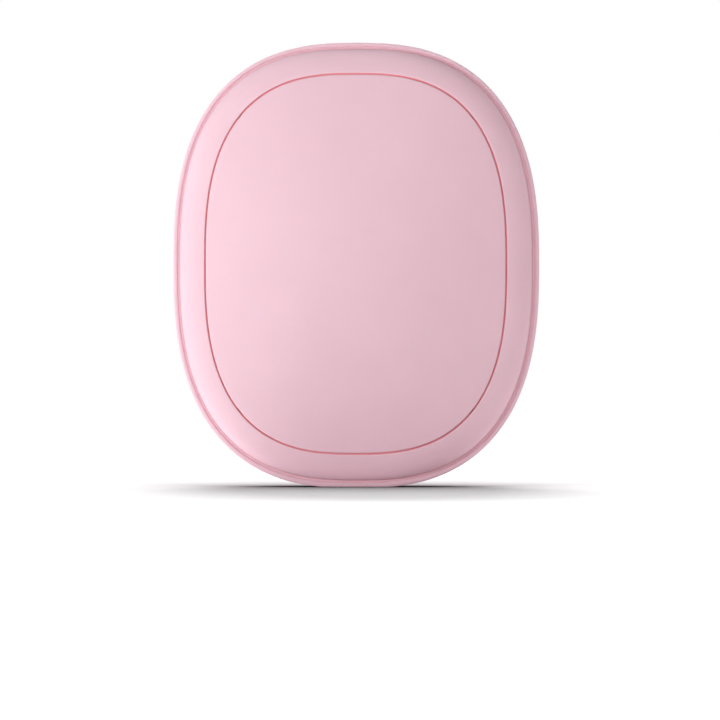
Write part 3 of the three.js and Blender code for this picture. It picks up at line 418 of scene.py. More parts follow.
def outline_radius(inset, angle):
    """Distance from the centre to the outline inset by a given amount, at an angle from +X."""
    power = outline_power(inset)
    flat = HALF_HEIGHT - inset
    lower = math.sin(angle) < 0
    half_height = flat + FOOT_CUT * max(0, 1 - inset / LIP_WIDTH) if lower else flat
    across = abs(math.cos(angle)) / (HALF_WIDTH - inset)
    up = abs(math.sin(angle)) / half_height
    radius = (across**power + up**power) ** (-1 / power)
    return min(radius, flat / abs(math.sin(angle))) if lower else radius


def crossing(inset, at, half, other):
    """Reach of the inset outline along one axis, where it crosses a place on the other."""
    power = outline_power(inset)
    share = abs(at) / (half - inset)
    return (other - inset) * (1 - share**power) ** (1 / power)


def outline_top(inset, x):
    return crossing(inset, x, HALF_WIDTH, HALF_HEIGHT)


def dome(x, z):
    """Height of the domed face above the middle plane."""
    share = math.hypot(x, z) / outline_radius(SEAM_INSET, math.atan2(z, x))
    return APEX - DOME_RISE * share * share


def under_dome(drop):
    """Height of a surface that lies a given depth under the domed face."""
    return lambda x, z: dome(x, z) - drop


# Screw posts, one in each quarter
POST_Z = HALF_HEIGHT - SCREW_DROP
POST_X = crossing(SCREW_INSET, POST_Z, HALF_HEIGHT, HALF_WIDTH)
POSTS = [(POST_X, POST_Z), (-POST_X, POST_Z), (-POST_X, -POST_Z), (POST_X, -POST_Z)]

# The cell between the posts, and the board above it
CELL_HALF_HEIGHT = POST_Z - POST_RADIUS - POST_GAP
WALL_HALF_HEIGHT = CELL_HALF_HEIGHT + CELL_GAP + CARRIER_WALL
WALL_HALF_WIDTH = crossing(CARRIER_INSET, WALL_HALF_HEIGHT, HALF_HEIGHT, HALF_WIDTH)
CELL_HALF_WIDTH = WALL_HALF_WIDTH - CARRIER_WALL - CELL_GAP
CELL_TOP = CELL_HALF_HEIGHT - GUARD_ROOM
BOARD_HALF_WIDTH = POST_X - POST_RADIUS - POST_GAP
BOARD_BOTTOM = WALL_HALF_HEIGHT + CELL_GAP
BOARD_TOP = HALF_HEIGHT - FRAME_BORE - BOARD_GAP
PAD_Z = BOARD_BOTTOM + PAD_RISE
FILM_PAD_Z = PAD_Z + FILM_PAD_RISE
HEATER_LEAD_X = [BOARD_HALF_WIDTH * share for share in HEATER_LEAD_SHARES]
SENSOR_X = BOARD_HALF_WIDTH * SENSOR_SHARE
BATTERY_LEAD_X = [BOARD_HALF_WIDTH * share for share in BATTERY_LEAD_SHARES]
BOARD_SCREW_X = BOARD_HALF_WIDTH * BOARD_SCREW_SHARES[0]
BOARD_SCREW_Z = BOARD_BOTTOM + (BOARD_TOP - BOARD_BOTTOM) * BOARD_SCREW_SHARES[1]

# Levels of the button, its switch and the lights
BUTTON_X = HALF_WIDTH * BUTTON_SHARE
GUIDE_HALF_WIDTH = BUTTON_WIDTH / 2 + BUTTON_CLEARANCE + GUIDE_WALL
GUIDE_BOTTOM = outline_top(FRAME_BORE, BUTTON_X + GUIDE_HALF_WIDTH)
FLANGE_TOP = GUIDE_BOTTOM - BUTTON_PLAY
FLANGE_BOTTOM = FLANGE_TOP - BUTTON_FLANGE_HEIGHT
NUB_BOTTOM = FLANGE_BOTTOM - BUTTON_NUB_HEIGHT
PLUNGER_TOP = NUB_BOTTOM - PLUNGER_GAP
SWITCH_TOP = PLUNGER_TOP - PLUNGER_OUT
SWITCH_Y = BOARD_FRONT - SWITCH_DEPTH / 2
SPRING_RISE = BUTTON_TRAVEL + SPRING_LEFT
SPRING_TOP = SWITCH_TOP - PLUNGER_IN - SPRING_GAP
SPRING_FOOT = SPRING_TOP - SPRING_THICKNESS - SPRING_RISE
LED_X = [HALF_WIDTH * share for share in LED_SHARES]
GUIDE_BAR_END = LED_X[-1] - GUIDE_BAR_MARGIN
GUIDE_BAR_TOP = outline_top(FRAME_BORE, GUIDE_BAR_END) - GUIDE_BAR_GAP
GUIDE_BAR_BOTTOM = GUIDE_BAR_TOP - GUIDE_BAR_HEIGHT


def on_outline(inset, angle, height, side=FRONT, share=1):
    """A point on the inset outline, at a height that may follow the dome."""
    radius = outline_radius(inset, angle) * share
    x = radius * math.cos(angle)
    z = radius * math.sin(angle)
    return Vector((x, side * (height(x, z) if callable(height) else height), z))


def ring(inset, height, side=FRONT, share=1, steps=AROUND):
    """Points all round the inset outline."""
    angles = [(k + 1 / 2) * math.tau / steps for k in range(steps)]
    return [on_outline(inset, angle, height, side, share) for angle in angles]


def walls(rings, closed=False):
    """Faces between one ring of points and the next, and back to the first where closed."""
    count = len(rings[0])
    faces = []
    for r in range(len(rings) if closed else len(rings) - 1):
        start = r * count
        end = (r + 1) % len(rings) * count
        for k in range(count):
            after = (k + 1) % count
            faces.append((start + k, start + after, end + after, end + k))
    return faces


def tube_of(rings):
    """A closed solid through rings of points, whose last ring joins its first."""
    return [p for r in rings for p in r], walls(rings, closed=True)


def loft(rings, poles):
    """A closed solid through rings of points, with a fan to a pole at each end."""
    count = len(rings[0])
    points = [p for r in rings for p in r]
    faces = walls(rings)
    for pole, first in zip(poles, (0, (len(rings) - 1) * count)):
        points.append(Vector(pole))
        faces += [(first + k, first + (k + 1) % count, len(points) - 1) for k in range(count)]
    return points, faces


def arc(centre, radius, start, end, steps=FILLET_STEPS):
    """Points of a section on an arc, from one angle in degrees to another."""
    points = []
    for k in range(steps + 1):
        angle = math.radians(start + (end - start) * k / steps)
        points.append((centre[0] + radius * math.cos(angle), centre[1] + radius * math.sin(angle)))
    return points


def pill(width, depth, grow=0):
    """Plan points of a rectangle with fully round ends, grown by a margin."""
    reach = (width - depth) / 2
    radius = depth / 2 + grow
    points = []
    for end in (1, -1):
        for k in range(HALF_ROUND + 1):
            angle = math.pi * (k / HALF_ROUND - 1 / 2)
            x = reach + radius * math.cos(angle)
            points.append((end * x, end * radius * math.sin(angle)))
        for k in range(1, STRAIGHT_STEPS):
            points.append((end * reach * (1 - 2 * k / STRAIGHT_STEPS), end * radius))
    return points


def across(first, count):
    """Faces that close one end of a pill with strips from its front to its back."""
    middle = HALF_ROUND // 2
    faces = []
    for k in range(count // 2):
        corners = (middle + k, middle + k + 1, middle - k - 1, middle - k)
        faces.append(tuple(dict.fromkeys(first + c % count for c in corners)))
    return faces


def upright(width, depth, levels, x):
    """A closed solid along Z from pairs of a margin and a height, which may follow X."""
    rings = []
    for grow, level in levels:
        plan = [(x + px, py) for px, py in pill(width, depth, grow)]
        rings.append([Vector((px, py, level(px) if callable(level) else level)) for px, py in plan])
    count = len(rings[0])
    points = [p for r in rings for p in r]
    return points, walls(rings) + across(0, count) + across(len(points) - count, count)


def under_face(drop):
    """Height under the outer face of the rim at a given depth, as a function of X."""
    return lambda x: outline_top(max(drop, 0), x) - min(drop, 0)


def rounding(drop, edge, way):
    """Levels of a quarter round under the rim's outer face: way 1 widens it, -1 narrows it."""
    levels = []
    for k in range(FILLET_STEPS + 1):
        angle = math.pi / 2 * k / FILLET_STEPS
        level = under_face(drop + edge * (1 - math.sin(angle)))
        levels.append((way * edge * (1 - math.cos(angle)), level))
    return levels


def flared_hole(width, depth, gap, x, bottom):
    """The tool that cuts a hole through the rim with a gap all round, and rounds its mouth."""
    levels = [(0, bottom), *rounding(0, HOLE_FLARE, 1), (HOLE_FLARE, under_face(-OVERRUN))]
    return upright(width + 2 * gap, depth + 2 * gap, levels, x)


def block(low, high, edge=0, steps=EDGE_STEPS):
    """A closed box between two corners, with its edges rounded."""
    work = bmesh.new()
    size = [h - l for l, h in zip(low, high)]
    centre = [(h + l) / 2 for l, h in zip(low, high)]
    place = Matrix.Translation(centre) @ Matrix.Diagonal((*size, 1))
    bmesh.ops.create_cube(work, size=1, matrix=place)
    if edge:
        form = {"offset": edge, "segments": steps, "profile": 1 / 2, "affect": "EDGES"}
        bmesh.ops.bevel(work, geom=work.edges[:], **form)
    work.verts.index_update()
    solid = [v.co.copy() for v in work.verts], [tuple(v.index for v in f.verts) for f in work.faces]
    work.free()
    return solid


def circle(radius, steps=HALF_ROUND):
    angles = [math.tau * k / steps for k in range(steps)]
    return [(radius * math.cos(a), radius * math.sin(a)) for a in angles]


def lathe(profile, steps=2 * HALF_ROUND):
    """A closed solid round Y, from pairs of a radius, 0 at both ends, and a place along Y."""
    rings = []
    for radius, y in profile[1:-1]:
        rings.append([Vector((x, y, z)) for x, z in circle(radius, steps)])
    return loft(rings, [(0, profile[0][1], 0), (0, profile[-1][1], 0)])


def rod(radius, y0, y1, x, z):
    """A closed round rod along Y."""
    return moved(lathe([(0, y0), (radius, y0), (radius, y1), (0, y1)]), (x, 0, z))


def moved(solid, offset):
    points, faces = solid
    return [p + Vector(offset) for p in points], faces


def slab(inset, y0, y1):
    """A slab of the inset outline between two places along Y."""
    return loft([ring(inset, -y0), ring(inset, -y1)], [(0, y0, 0), (0, y1, 0)])


def joined(solids):
    """One list of points and faces from several solids that stay apart."""
    points = []
    faces = []
    for more, corners in solids:
        faces += [tuple(c + len(points) for c in face) for face in corners]
        points += more
    return points, faces


def in_scene(name, data):
    obj = bpy.data.objects.new(name, data)
    bpy.context.scene.collection.objects.link(obj)
    return obj


def new_object(name, solid):
    """An object with the solid's mesh in millimetres, its faces turned outwards."""
    points, faces = solid
    mesh = bpy.data.meshes.new(name)
    mesh.from_pydata(points, [], faces)
    work = bmesh.new()
    work.from_mesh(mesh)
    bmesh.ops.remove_doubles(work, verts=work.verts, dist=MERGE_DISTANCE)
    bmesh.ops.recalc_face_normals(work, faces=work.faces)
    work.to_mesh(mesh)
    work.free()
    return in_scene(name, mesh)


def combine(obj, operation, *solids):
    """Adds solids to an object, cuts them out of it, or keeps what they share."""
    for solid in solids:
        tool = new_object("tool", solid)
        modifier = obj.modifiers.new("combine", "BOOLEAN")
        modifier.operation = operation
        modifier.solver = "MANIFOLD"
        modifier.object = tool
        shaped = obj.evaluated_get(bpy.context.evaluated_depsgraph_get())
        mesh = bpy.data.meshes.new_from_object(shaped)
        obj.modifiers.clear()
        obj.data = mesh
        bpy.data.objects.remove(tool)
    return obj


def taken(obj):
    """The solid of an object, which is then removed."""
    solid = [v.co.copy() for v in obj.data.vertices], [tuple(p.vertices) for p in obj.data.polygons]
    bpy.data.objects.remove(obj)
    return solid


def settle(obj, slot, *nodes, body="case", sharp=SHARP_ANGLE, look=None):
    """Turns a finished mesh to metres in the row frame, and fixes it to its body."""
    mesh = obj.data
    # Painted shade: each point keeps how much deeper pink it takes in the seam and the groove
    crease_shade_layer = mesh.attributes.new("crease_shade", "FLOAT", "POINT")
    crease_shade_layer.data.foreach_set("value", [crease_shade(v.co) for v in mesh.vertices])
    mesh.transform(Matrix.Scale(MM, 4) @ Matrix.Translation((0, 0, HALF_HEIGHT)))
    mesh.shade_smooth()
    mesh.set_sharp_from_angle(angle=sharp)
    mesh.materials.clear()
    mesh.materials.append(LOOKS[look or slot])
    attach(obj, body)
    if nodes:
        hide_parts(*nodes)


def crease_shade(point):
    """Painted shade as a share of deeper pink: 1 in the seam, less in the groove, where light
    arrives by way of pink walls. Else 0.
    """
    height = abs(point.y)
    angle = math.atan2(point.z, point.x)
    edge = outline_radius(0, angle)
    scale = (edge - outline_radius(SEAM_INSET, angle)) / SEAM_INSET
    inset = (edge - math.hypot(point.x, point.z)) / scale
    in_groove = LIP_WIDTH - LIP_EDGE < inset < SHELL_INSET + LIP_EDGE
    in_seam = SEAM_INSET - TINY < inset < SEAM_INSET + SEAM_GAP + TINY
    if in_groove and height < RIM_DEPTH / 2 - LIP_EDGE + TINY:
        return GROOVE_SHADE_SHARE
    return float(in_seam and height < SEAM_HEIGHT - SEAM_EDGE + TINY)


def middle_frame():
    """The ring that carries both shells, with a rounded lip on each side."""
    rim = RIM_DEPTH / 2
    inner = SHELL_INSET - RIB_GAP
    half = [(FRAME_BORE, WEB_HEIGHT), (inner, WEB_HEIGHT)]
    half += [(inner, GROOVE_FLOOR), (LIP_WIDTH, GROOVE_FLOOR)]
    half += arc((LIP_WIDTH - LIP_EDGE, rim - LIP_EDGE), LIP_EDGE, 0, 90)
    half += arc((RIM_EDGE, rim - RIM_EDGE), RIM_EDGE, 90, 180)
    mirrored = [(inset, -height) for inset, height in reversed(half)]
    rings = [ring(inset, height) for inset, height in half + mirrored]
    frame = new_object("frame_ring", tube_of(rings))
    low = (BUTTON_X - GUIDE_HALF_WIDTH, TINY - WEB_HEIGHT, GUIDE_BOTTOM)
    high = (BUTTON_X + GUIDE_HALF_WIDTH, BOARD_FRONT - BUTTON_CLEARANCE, HALF_HEIGHT)
    guide = new_object("guide", block(low, high))
    combine(guide, "INTERSECT", slab(SHELL_INSET + TINY, -rim, rim))
    combine(frame, "UNION", taken(guide))
    socket = flared_hole(SOCKET_WIDTH, SOCKET_DEPTH, SOCKET_CLEARANCE, 0, BOARD_TOP - OVERRUN)
    bottom = GUIDE_BOTTOM - OVERRUN
    button = flared_hole(BUTTON_WIDTH, BUTTON_DEPTH, BUTTON_CLEARANCE, BUTTON_X, bottom)
    wide = 2 * PRONG_RADIUS
    lights = [flared_hole(wide, wide, PRONG_CLEARANCE, x, GUIDE_BAR_BOTTOM) for x in LED_X]
    combine(frame, "DIFFERENCE", socket, button, *lights)
    settle(frame, "pink_plastic", "middle_frame")


def shell_section():
    """Section of a shell as insets from the outline and heights above the middle plane."""
    side_top = WEB_HEIGHT + SIDE_RISE
    top = SEAM_HEIGHT - PANEL_PROUD
    rise = top - side_top
    run = SEAM_INSET - SHELL_INSET
    steep, forward, crown = SHOULDER_SHARES
    curve = [
        Vector((SHELL_INSET, side_top)),
        Vector((SHELL_INSET, side_top + steep * rise)),
        Vector((SHELL_INSET + forward * run, top - crown * rise)),
        Vector((SEAM_INSET - BAND_EDGE, top)),
    ]
    shoulder = []
    for k in range(SHOULDER_STEPS + 1):
        t = k / SHOULDER_STEPS
        weights = ((1 - t) ** 3, 3 * t * (1 - t) ** 2, 3 * t**2 * (1 - t), t**3)
        shoulder.append(tuple(sum((w * p for w, p in zip(weights, curve)), Vector((0, 0)))))
    inner = SHELL_INSET + SHELL_WALL
    corner = (LEDGE_BOTTOM - WEB_HEIGHT) * INNER_CORNER_SHARE
    rib = SEAM_INSET + SEAM_GAP - RIB_GAP
    return [
        (SHELL_INSET, WEB_HEIGHT),
        *shoulder,
        *arc((SEAM_INSET - BAND_EDGE, top - BAND_EDGE), BAND_EDGE, BAND_EDGE_ANGLE, 0),
        (SEAM_INSET, SEAM_FLOOR),
        (rib, SEAM_FLOOR),
        (rib, LEDGE_TOP),
        (LEDGE_INSET, LEDGE_TOP),
        (LEDGE_INSET, LEDGE_BOTTOM),
        (inner + corner, LEDGE_BOTTOM),
        (inner, LEDGE_BOTTOM - corner),
        (inner, WEB_HEIGHT),
    ]


def shell(side):
    """The band between the groove and the seam, with the ledge and the posts behind it."""
    name = SIDE_NAMES[side]
    end = CARRIER_FRONT if side == FRONT else CARRIER_REAR
    band = new_object(f"{name}_band", tube_of([ring(i, h, side) for i, h in shell_section()]))
    top = LEDGE_TOP - TINY
    for x, z in POSTS:
        combine(band, "UNION", rod(POST_RADIUS, side * top, side * end, x, z))
    mouth = side * (top + OVERRUN)
    for x, z in POSTS:
        hole = rod(SCREW_RADIUS + HOLE_CLEARANCE, mouth, side * (end - OVERRUN), x, z)
        combine(band, "DIFFERENCE", hole)
        if side == FRONT:
            seat = rod(SCREW_HEAD_RADIUS + HOLE_CLEARANCE, mouth, side * SCREW_SEAT, x, z)
            combine(band, "DIFFERENCE", seat)
    settle(band, "pink_plastic", f"{name}_shell")


def panel(side):
    """The domed panel inside the seam, with a pocket behind it for the heater film."""
    edge = SEAM_INSET + SEAM_GAP
    shares = [k / DOME_RINGS for k in range(1, DOME_RINGS)]
    rings = [ring(edge + SEAM_EDGE, dome, side, share) for share in shares]
    for inset, rise in arc((edge + SEAM_EDGE, 0), SEAM_EDGE, 90, 180):
        rings.append(ring(inset, under_dome(SEAM_EDGE - rise), side))
    rings.append(ring(edge, LEDGE_TOP, side))
    rings.append(ring(POCKET_INSET, LEDGE_TOP, side))
    shares = [k / PAD_RINGS for k in range(PAD_RINGS, 0, -1)]
    rings += [ring(POCKET_INSET, under_dome(PANEL_WALL), side, share) for share in shares]
    poles = [(0, side * APEX, 0), (0, side * (APEX - PANEL_WALL), 0)]
    name = SIDE_NAMES[side]
    face = new_object(f"{name}_face", loft(rings, poles))
    settle(face, "pink_plastic", f"{name}_panel")


def power_button():
    """A pill-shaped cap with a rounded edge, on the flange and the nub behind it."""
    levels = [(0, FLANGE_BOTTOM), *rounding(FACE_SINK, BUTTON_EDGE, -1)]
    button = new_object("button_cap", upright(BUTTON_WIDTH, BUTTON_DEPTH, levels, BUTTON_X))
    reach = BUTTON_WIDTH / 2 + BUTTON_FLANGE
    low = (BUTTON_X - reach, -BUTTON_DEPTH / 2 - BUTTON_FLANGE, FLANGE_BOTTOM)
    high = (BUTTON_X + reach, BOARD_FRONT - BUTTON_CLEARANCE, FLANGE_TOP)
    flange = block(low, high, BUTTON_CLEARANCE)
    reach = BUTTON_NUB_WIDTH / 2
    low = (BUTTON_X - reach, SWITCH_Y - BUTTON_NUB_DEPTH / 2, NUB_BOTTOM)
    top = FLANGE_TOP - BUTTON_CLEARANCE
    high = (BUTTON_X + reach, SWITCH_Y + BUTTON_NUB_DEPTH / 2, top)
    combine(button, "UNION", flange, block(low, high, BUTTON_CLEARANCE))
    settle(button, "pink_plastic", "power_button", body="button")


def light_guide():
    """A clear bar with a prong up through the rim for each light."""
    low = (GUIDE_BAR_END, -GUIDE_BAR_FRONT, GUIDE_BAR_BOTTOM)
    high = (LED_X[0] + GUIDE_BAR_MARGIN, BOARD_FRONT, GUIDE_BAR_TOP)
    bar = new_object("clear_guide", block(low, high, PRONG_CLEARANCE))
    for x in LED_X:
        levels = [(0, GUIDE_BAR_BOTTOM + PRONG_EDGE), *rounding(FACE_SINK, PRONG_EDGE, -1)]
        combine(bar, "UNION", upright(2 * PRONG_RADIUS, 2 * PRONG_RADIUS, levels, x))
    settle(bar, "clear_plastic", "light_guide")


def socket_shell():
    """The pressed shell of the socket, with a rolled mouth."""
    half = SOCKET_WALL / 2
    mouth = arc((-half, SOCKET_TOP - half), half, 0, 180)
    section = [(0, SOCKET_BOTTOM), *mouth, (-SOCKET_WALL, SOCKET_BOTTOM)]
    rings = []
    for grow, z in section:
        rings.append([Vector((x, y, z)) for x, y in pill(SOCKET_WIDTH, SOCKET_DEPTH, grow)])
    sleeve = new_object("socket_sleeve", tube_of(rings))
    settle(sleeve, "nickel", "charging_socket_shell")


def socket_insert():
    """The moulded base of the socket and its tongue."""
    wall = SOCKET_WALL + INSERT_GAP
    top = SOCKET_BOTTOM + INSERT_BASE
    levels = [(0, SOCKET_BOTTOM), (0, top - TONGUE_EDGE), (-TONGUE_EDGE, top)]
    base = upright(SOCKET_WIDTH - 2 * wall, SOCKET_DEPTH - 2 * wall, levels, 0)
    low = (-TONGUE_WIDTH / 2, -TONGUE_DEPTH / 2, SOCKET_BOTTOM + TONGUE_EDGE)
    high = (TONGUE_WIDTH / 2, TONGUE_DEPTH / 2, SOCKET_TOP - TONGUE_SINK)
    insert = combine(new_object("socket_tongue", base), "UNION", block(low, high, TONGUE_EDGE))
    settle(insert, "black_plastic", "charging_socket_insert")


def socket_contacts():
    """The plated contacts along both faces of the tongue."""
    top = SOCKET_TOP - TONGUE_SINK - CONTACT_SINK
    strips = []
    faces = (TONGUE_DEPTH / 2 - CONTACT_RISE, TONGUE_DEPTH / 2 + CONTACT_RISE)
    for side in (FRONT, REAR):
        ys = sorted(side * face for face in faces)
        for k in range(CONTACTS):
            x = (k - (CONTACTS - 1) / 2) * CONTACT_PITCH
            low = (x - CONTACT_WIDTH / 2, ys[0], top - CONTACT_LENGTH)
            strips.append(block(low, (x + CONTACT_WIDTH / 2, ys[1], top), TINY, 1))
    contacts = new_object("socket_contacts", joined(strips))
    settle(contacts, "nickel", look="contact_gold")


def under_panel(name, side, inset, outer_drop, inner):
    """A sheet or pad that follows the dome on its outside."""
    shares = [k / PAD_RINGS for k in range(1, PAD_RINGS + 1)]
    outer = under_dome(outer_drop)
    rings = [ring(inset, outer, side, share, FILM_AROUND) for share in shares]
    rings += [ring(inset, inner, side, share, FILM_AROUND) for share in reversed(shares)]
    poles = [(0, side * height(0, 0), 0) for height in (outer, inner)]
    return new_object(name, loft(rings, poles))


def film_sheet(side):
    name = SIDE_NAMES[side]
    inner = under_dome(FILM_INNER_DROP)
    film = under_panel(f"{name}_film", side, POCKET_INSET + FILM_MARGIN, FILM_OUTER_DROP, inner)
    settle(film, "heater_film", f"{name}_heater_film")


def foam_pad(side):
    """A sponge pad between the film and the cell, trimmed to the cell's outline."""
    name = SIDE_NAMES[side]
    base = CELL_FACE + FOAM_GAP
    inset = POCKET_INSET + FOAM_MARGIN
    pad = under_panel(f"{name}_sponge", side, inset, FOAM_DROP, lambda x, z: base)
    ys = sorted((side * base, side * APEX))
    low = (-CELL_HALF_WIDTH, ys[0], -CELL_HALF_HEIGHT)
    high = (CELL_HALF_WIDTH, ys[1], CELL_HALF_HEIGHT)
    combine(pad, "INTERSECT", block(low, high, FOAM_MARGIN, SOFT_EDGE_STEPS))
    settle(pad, "foam", f"{name}_foam_pad", sharp=FOAM_SHARP_ANGLE)


def smooth_path(points):
    """Points on a smooth curve through a few points, evenly spread over each stretch."""
    points = [Vector(p) for p in points]
    ends = [2 * points[0] - points[1], *points, 2 * points[-1] - points[-2]]
    path = [points[0]]
    for a, b, c, d in zip(ends, ends[1:], ends[2:], ends[3:]):
        for k in range(1, PATH_STEPS + 1):
            t = k / PATH_STEPS
            slope = (c - a) * t + (2 * a - 5 * b + 4 * c - d) * t**2
            path.append(b + (slope + (3 * b - a - 3 * c + d) * t**3) / 2)
    return path


def swept(points, section):
    """A closed solid that carries a section along a path that stays near a plane of constant X."""
    path = smooth_path(points)
    rings = []
    for k, place in enumerate(path):
        along = (path[min(k + 1, len(path) - 1)] - path[max(k - 1, 0)]).normalized()
        over = Vector((1, 0, 0)) - along * along.x
        over.normalize()
        up = along.cross(over)
        rings.append([place + over * a + up * b for a, b in section])
    return loft(rings, [path[0], path[-1]])


def ribbon_section():
    """Two cores side by side in one flat lead."""
    radius = RIBBON_THICKNESS / 2
    reach = RIBBON_WIDTH / 2 - radius
    waist = radius * RIBBON_WAIST_SHARE
    turn = arc((0, 0), radius, -RIBBON_WAIST_ANGLE, 180 + RIBBON_WAIST_ANGLE, HALF_ROUND // 2)
    upper = [(x, reach + y) for x, y in turn]
    lower = [(-x, -y) for x, y in upper]
    return [*upper, (-waist, 0), *lower, (waist, 0)]


def cross_lead(side, name, node, x, height, section, slot):
    """A lead from under the film to a face of the board, with a slack bend in it."""
    start = height - LEAD_GAP
    end = (-BOARD_FRONT if side == FRONT else BOARD_REAR) + LEAD_GAP
    half = (start + end) / 2
    points = [
        (x, -start, FILM_PAD_Z),
        (x, (-start - half) / 2, FILM_PAD_Z),
        (x - LEAD_BEND / 2, -half, (FILM_PAD_Z + PAD_Z) / 2),
        (x, (-end - half) / 2, PAD_Z),
        (x, -end, PAD_Z),
    ]
    path = [(-side * x, -side * y, z) for x, y, z in points]
    lead = new_object(f"{SIDE_NAMES[side]}_{name}", swept(path, section))
    settle(lead, slot, f"{SIDE_NAMES[side]}_{node}")


def sensor_bead(name, place):
    """The glass bead of a sensor, lying along X under the film."""
    quarter = HALF_ROUND // 2
    far = SENSOR_LENGTH - SENSOR_RADIUS
    near_end = arc((SENSOR_RADIUS, 0), SENSOR_RADIUS, 180 - SENSOR_POLE_ANGLE, 90, quarter)
    far_end = arc((far, 0), SENSOR_RADIUS, 90, SENSOR_POLE_ANGLE, quarter)
    profile = [(0, 0), *[(r, y) for y, r in near_end + far_end], (0, SENSOR_LENGTH)]
    points, faces = lathe(profile)
    points = [Vector((p.y - SENSOR_LENGTH / 2, p.x, p.z)) + place for p in points]
    bead = new_object(f"{name}_sensor_bead", (points, faces))
    settle(bead, "sensor_glass", f"{name}_temperature_sensor")


def heating_side(side):
    """The film, the pad, the sensor and the leads behind one panel."""
    film_sheet(side)
    foam_pad(side)
    film_inside = under_dome(FILM_INNER_DROP)
    for k, (x, slot) in enumerate(zip(HEATER_LEAD_X, ("red_silicone", "white_silicone"))):
        height = film_inside(x, FILM_PAD_Z)
        names = (f"lead_{k + 1}", f"heater_lead_{k + 1}")
        cross_lead(side, *names, x, height, circle(LEAD_RADIUS), slot)
    height = film_inside(SENSOR_X, FILM_PAD_Z) - FILM_GAP - SENSOR_RADIUS
    names = ("ribbon", "sensor_lead")
    cross_lead(side, *names, SENSOR_X, height - SENSOR_RADIUS, ribbon_section(), "black_silicone")
    sensor_bead(SIDE_NAMES[side], Vector((-side * SENSOR_X, side * height, FILM_PAD_Z)))


def battery_leads():
    """The two leads from the guard board to the main board, through the notch in the wall."""
    start = CELL_TOP + TAB_HEIGHT + GUARD_BOARD_THICKNESS + LEAD_GAP
    over = LEAD_NOTCH_DEPTH - CARRIER_FRONT - LEAD_RADIUS - LEAD_GAP
    poles = {"positive": "red_silicone", "negative": "black_silicone"}
    for x, (pole, slot) in zip(BATTERY_LEAD_X, poles.items()):
        points = [
            (x, 0, start),
            (x, over, (start + BOARD_BOTTOM) / 2),
            (x, over, BOARD_BOTTOM),
            (x, BOARD_FRONT - LEAD_RADIUS - LEAD_GAP, PAD_Z),
        ]
        lead = new_object(f"cell_lead_{pole}", swept(points, circle(LEAD_RADIUS)))
        settle(lead, slot, f"battery_lead_{pole}")


def pouch_cell():
    """The pouch, with soft edges."""
    half = CELL_HALF_WIDTH - TINY
    low = (-half, -CELL_FACE, -CELL_HALF_HEIGHT)
    high = (half, CELL_FACE, CELL_TOP)
    cell = new_object("pouch", block(low, high, CELL_EDGE, SOFT_EDGE_STEPS))
    settle(cell, "cell_foil", "battery_cell")


def spring():
    """The snap spring under the plunger, a thin leaf bent to a low arch."""
    half = PLUNGER_WIDTH / 2
    depth = PLUNGER_DEPTH / 2
    corners = [(-depth, 0), (depth, 0), (depth, SPRING_THICKNESS), (-depth, SPRING_THICKNESS)]
    rings = []
    for k in range(SPRING_STEPS + 1):
        x = half * (2 * k / SPRING_STEPS - 1)
        z = SPRING_FOOT + SPRING_RISE * math.cos(math.pi / 2 * x / half)
        rings.append([Vector((BUTTON_X + x, SWITCH_Y + y, z + rise)) for y, rise in corners])
    middles = [sum(r, Vector()) / 4 for r in (rings[0], rings[-1])]
    leaf = new_object("snap_leaf", loft(rings, middles))
    settle(leaf, "steel", "switch_spring")
    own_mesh(leaf)


def screw(name, node, place, radius, length, head_radius, head_height):
    """A pan-head screw with a thread and a cross recess, pointing to the rear."""
    edge = head_height * SCREW_DOME_SHARE
    root = radius * THREAD_ROOT_SHARE
    pitch = radius * THREAD_PITCH_SHARE
    turns = int((length - radius - pitch) / pitch)
    profile = [(0, -head_height)]
    profile += [(r, y) for r, y in arc((head_radius - edge, edge - head_height), edge, -90, 0)]
    profile += [(head_radius, 0), (root, 0)]
    for k in range(turns):
        profile += [(root, (k + 1 / 2) * pitch), (radius, (k + 1) * pitch)]
    profile += [(root, (turns + 1 / 2) * pitch), (0, length)]
    body = new_object(name, moved(lathe(profile, HALF_ROUND), place))
    sizes = (head_radius, head_radius, head_height)
    reach, slot, depth = (share * size for share, size in zip(RECESS_SHARES, sizes))
    for a, b in ((reach, slot), (slot, reach)):
        low = Vector((-a, -head_height - OVERRUN, -b)) + Vector(place)
        high = Vector((a, depth - head_height, b)) + Vector(place)
        combine(body, "DIFFERENCE", block(low, high))
    settle(body, "steel", node)


def screws():
    sizes = (SCREW_RADIUS, SCREW_LENGTH, SCREW_HEAD_RADIUS, SCREW_HEAD_HEIGHT)
    for k, (x, z) in enumerate(POSTS):
        place = (x, -SCREW_SEAT, z)
        screw(f"clamp_screw_{k + 1}", f"case_screw_{k + 1}", place, *sizes)
    head = (BOARD_SCREW_HEAD_RADIUS, BOARD_SCREW_HEAD_HEIGHT)
    sizes = (BOARD_SCREW_RADIUS, BOARD_SCREW_LENGTH, *head)
    for k, side in enumerate((-1, 1)):
        place = (side * BOARD_SCREW_X, BOARD_FRONT, BOARD_SCREW_Z)
        screw(f"small_screw_{k + 1}", f"board_screw_{k + 1}", place, *sizes)


def linear(colour):
    """A colour of 0 to 255 on screen, turned by the sRGB curve to what the shader takes."""
    parts = [c / 255 for c in colour]
    return [p / 12.92 if p <= 0.04045 else ((p + 0.055) / 1.055) ** 2.4 for p in parts] + [1]


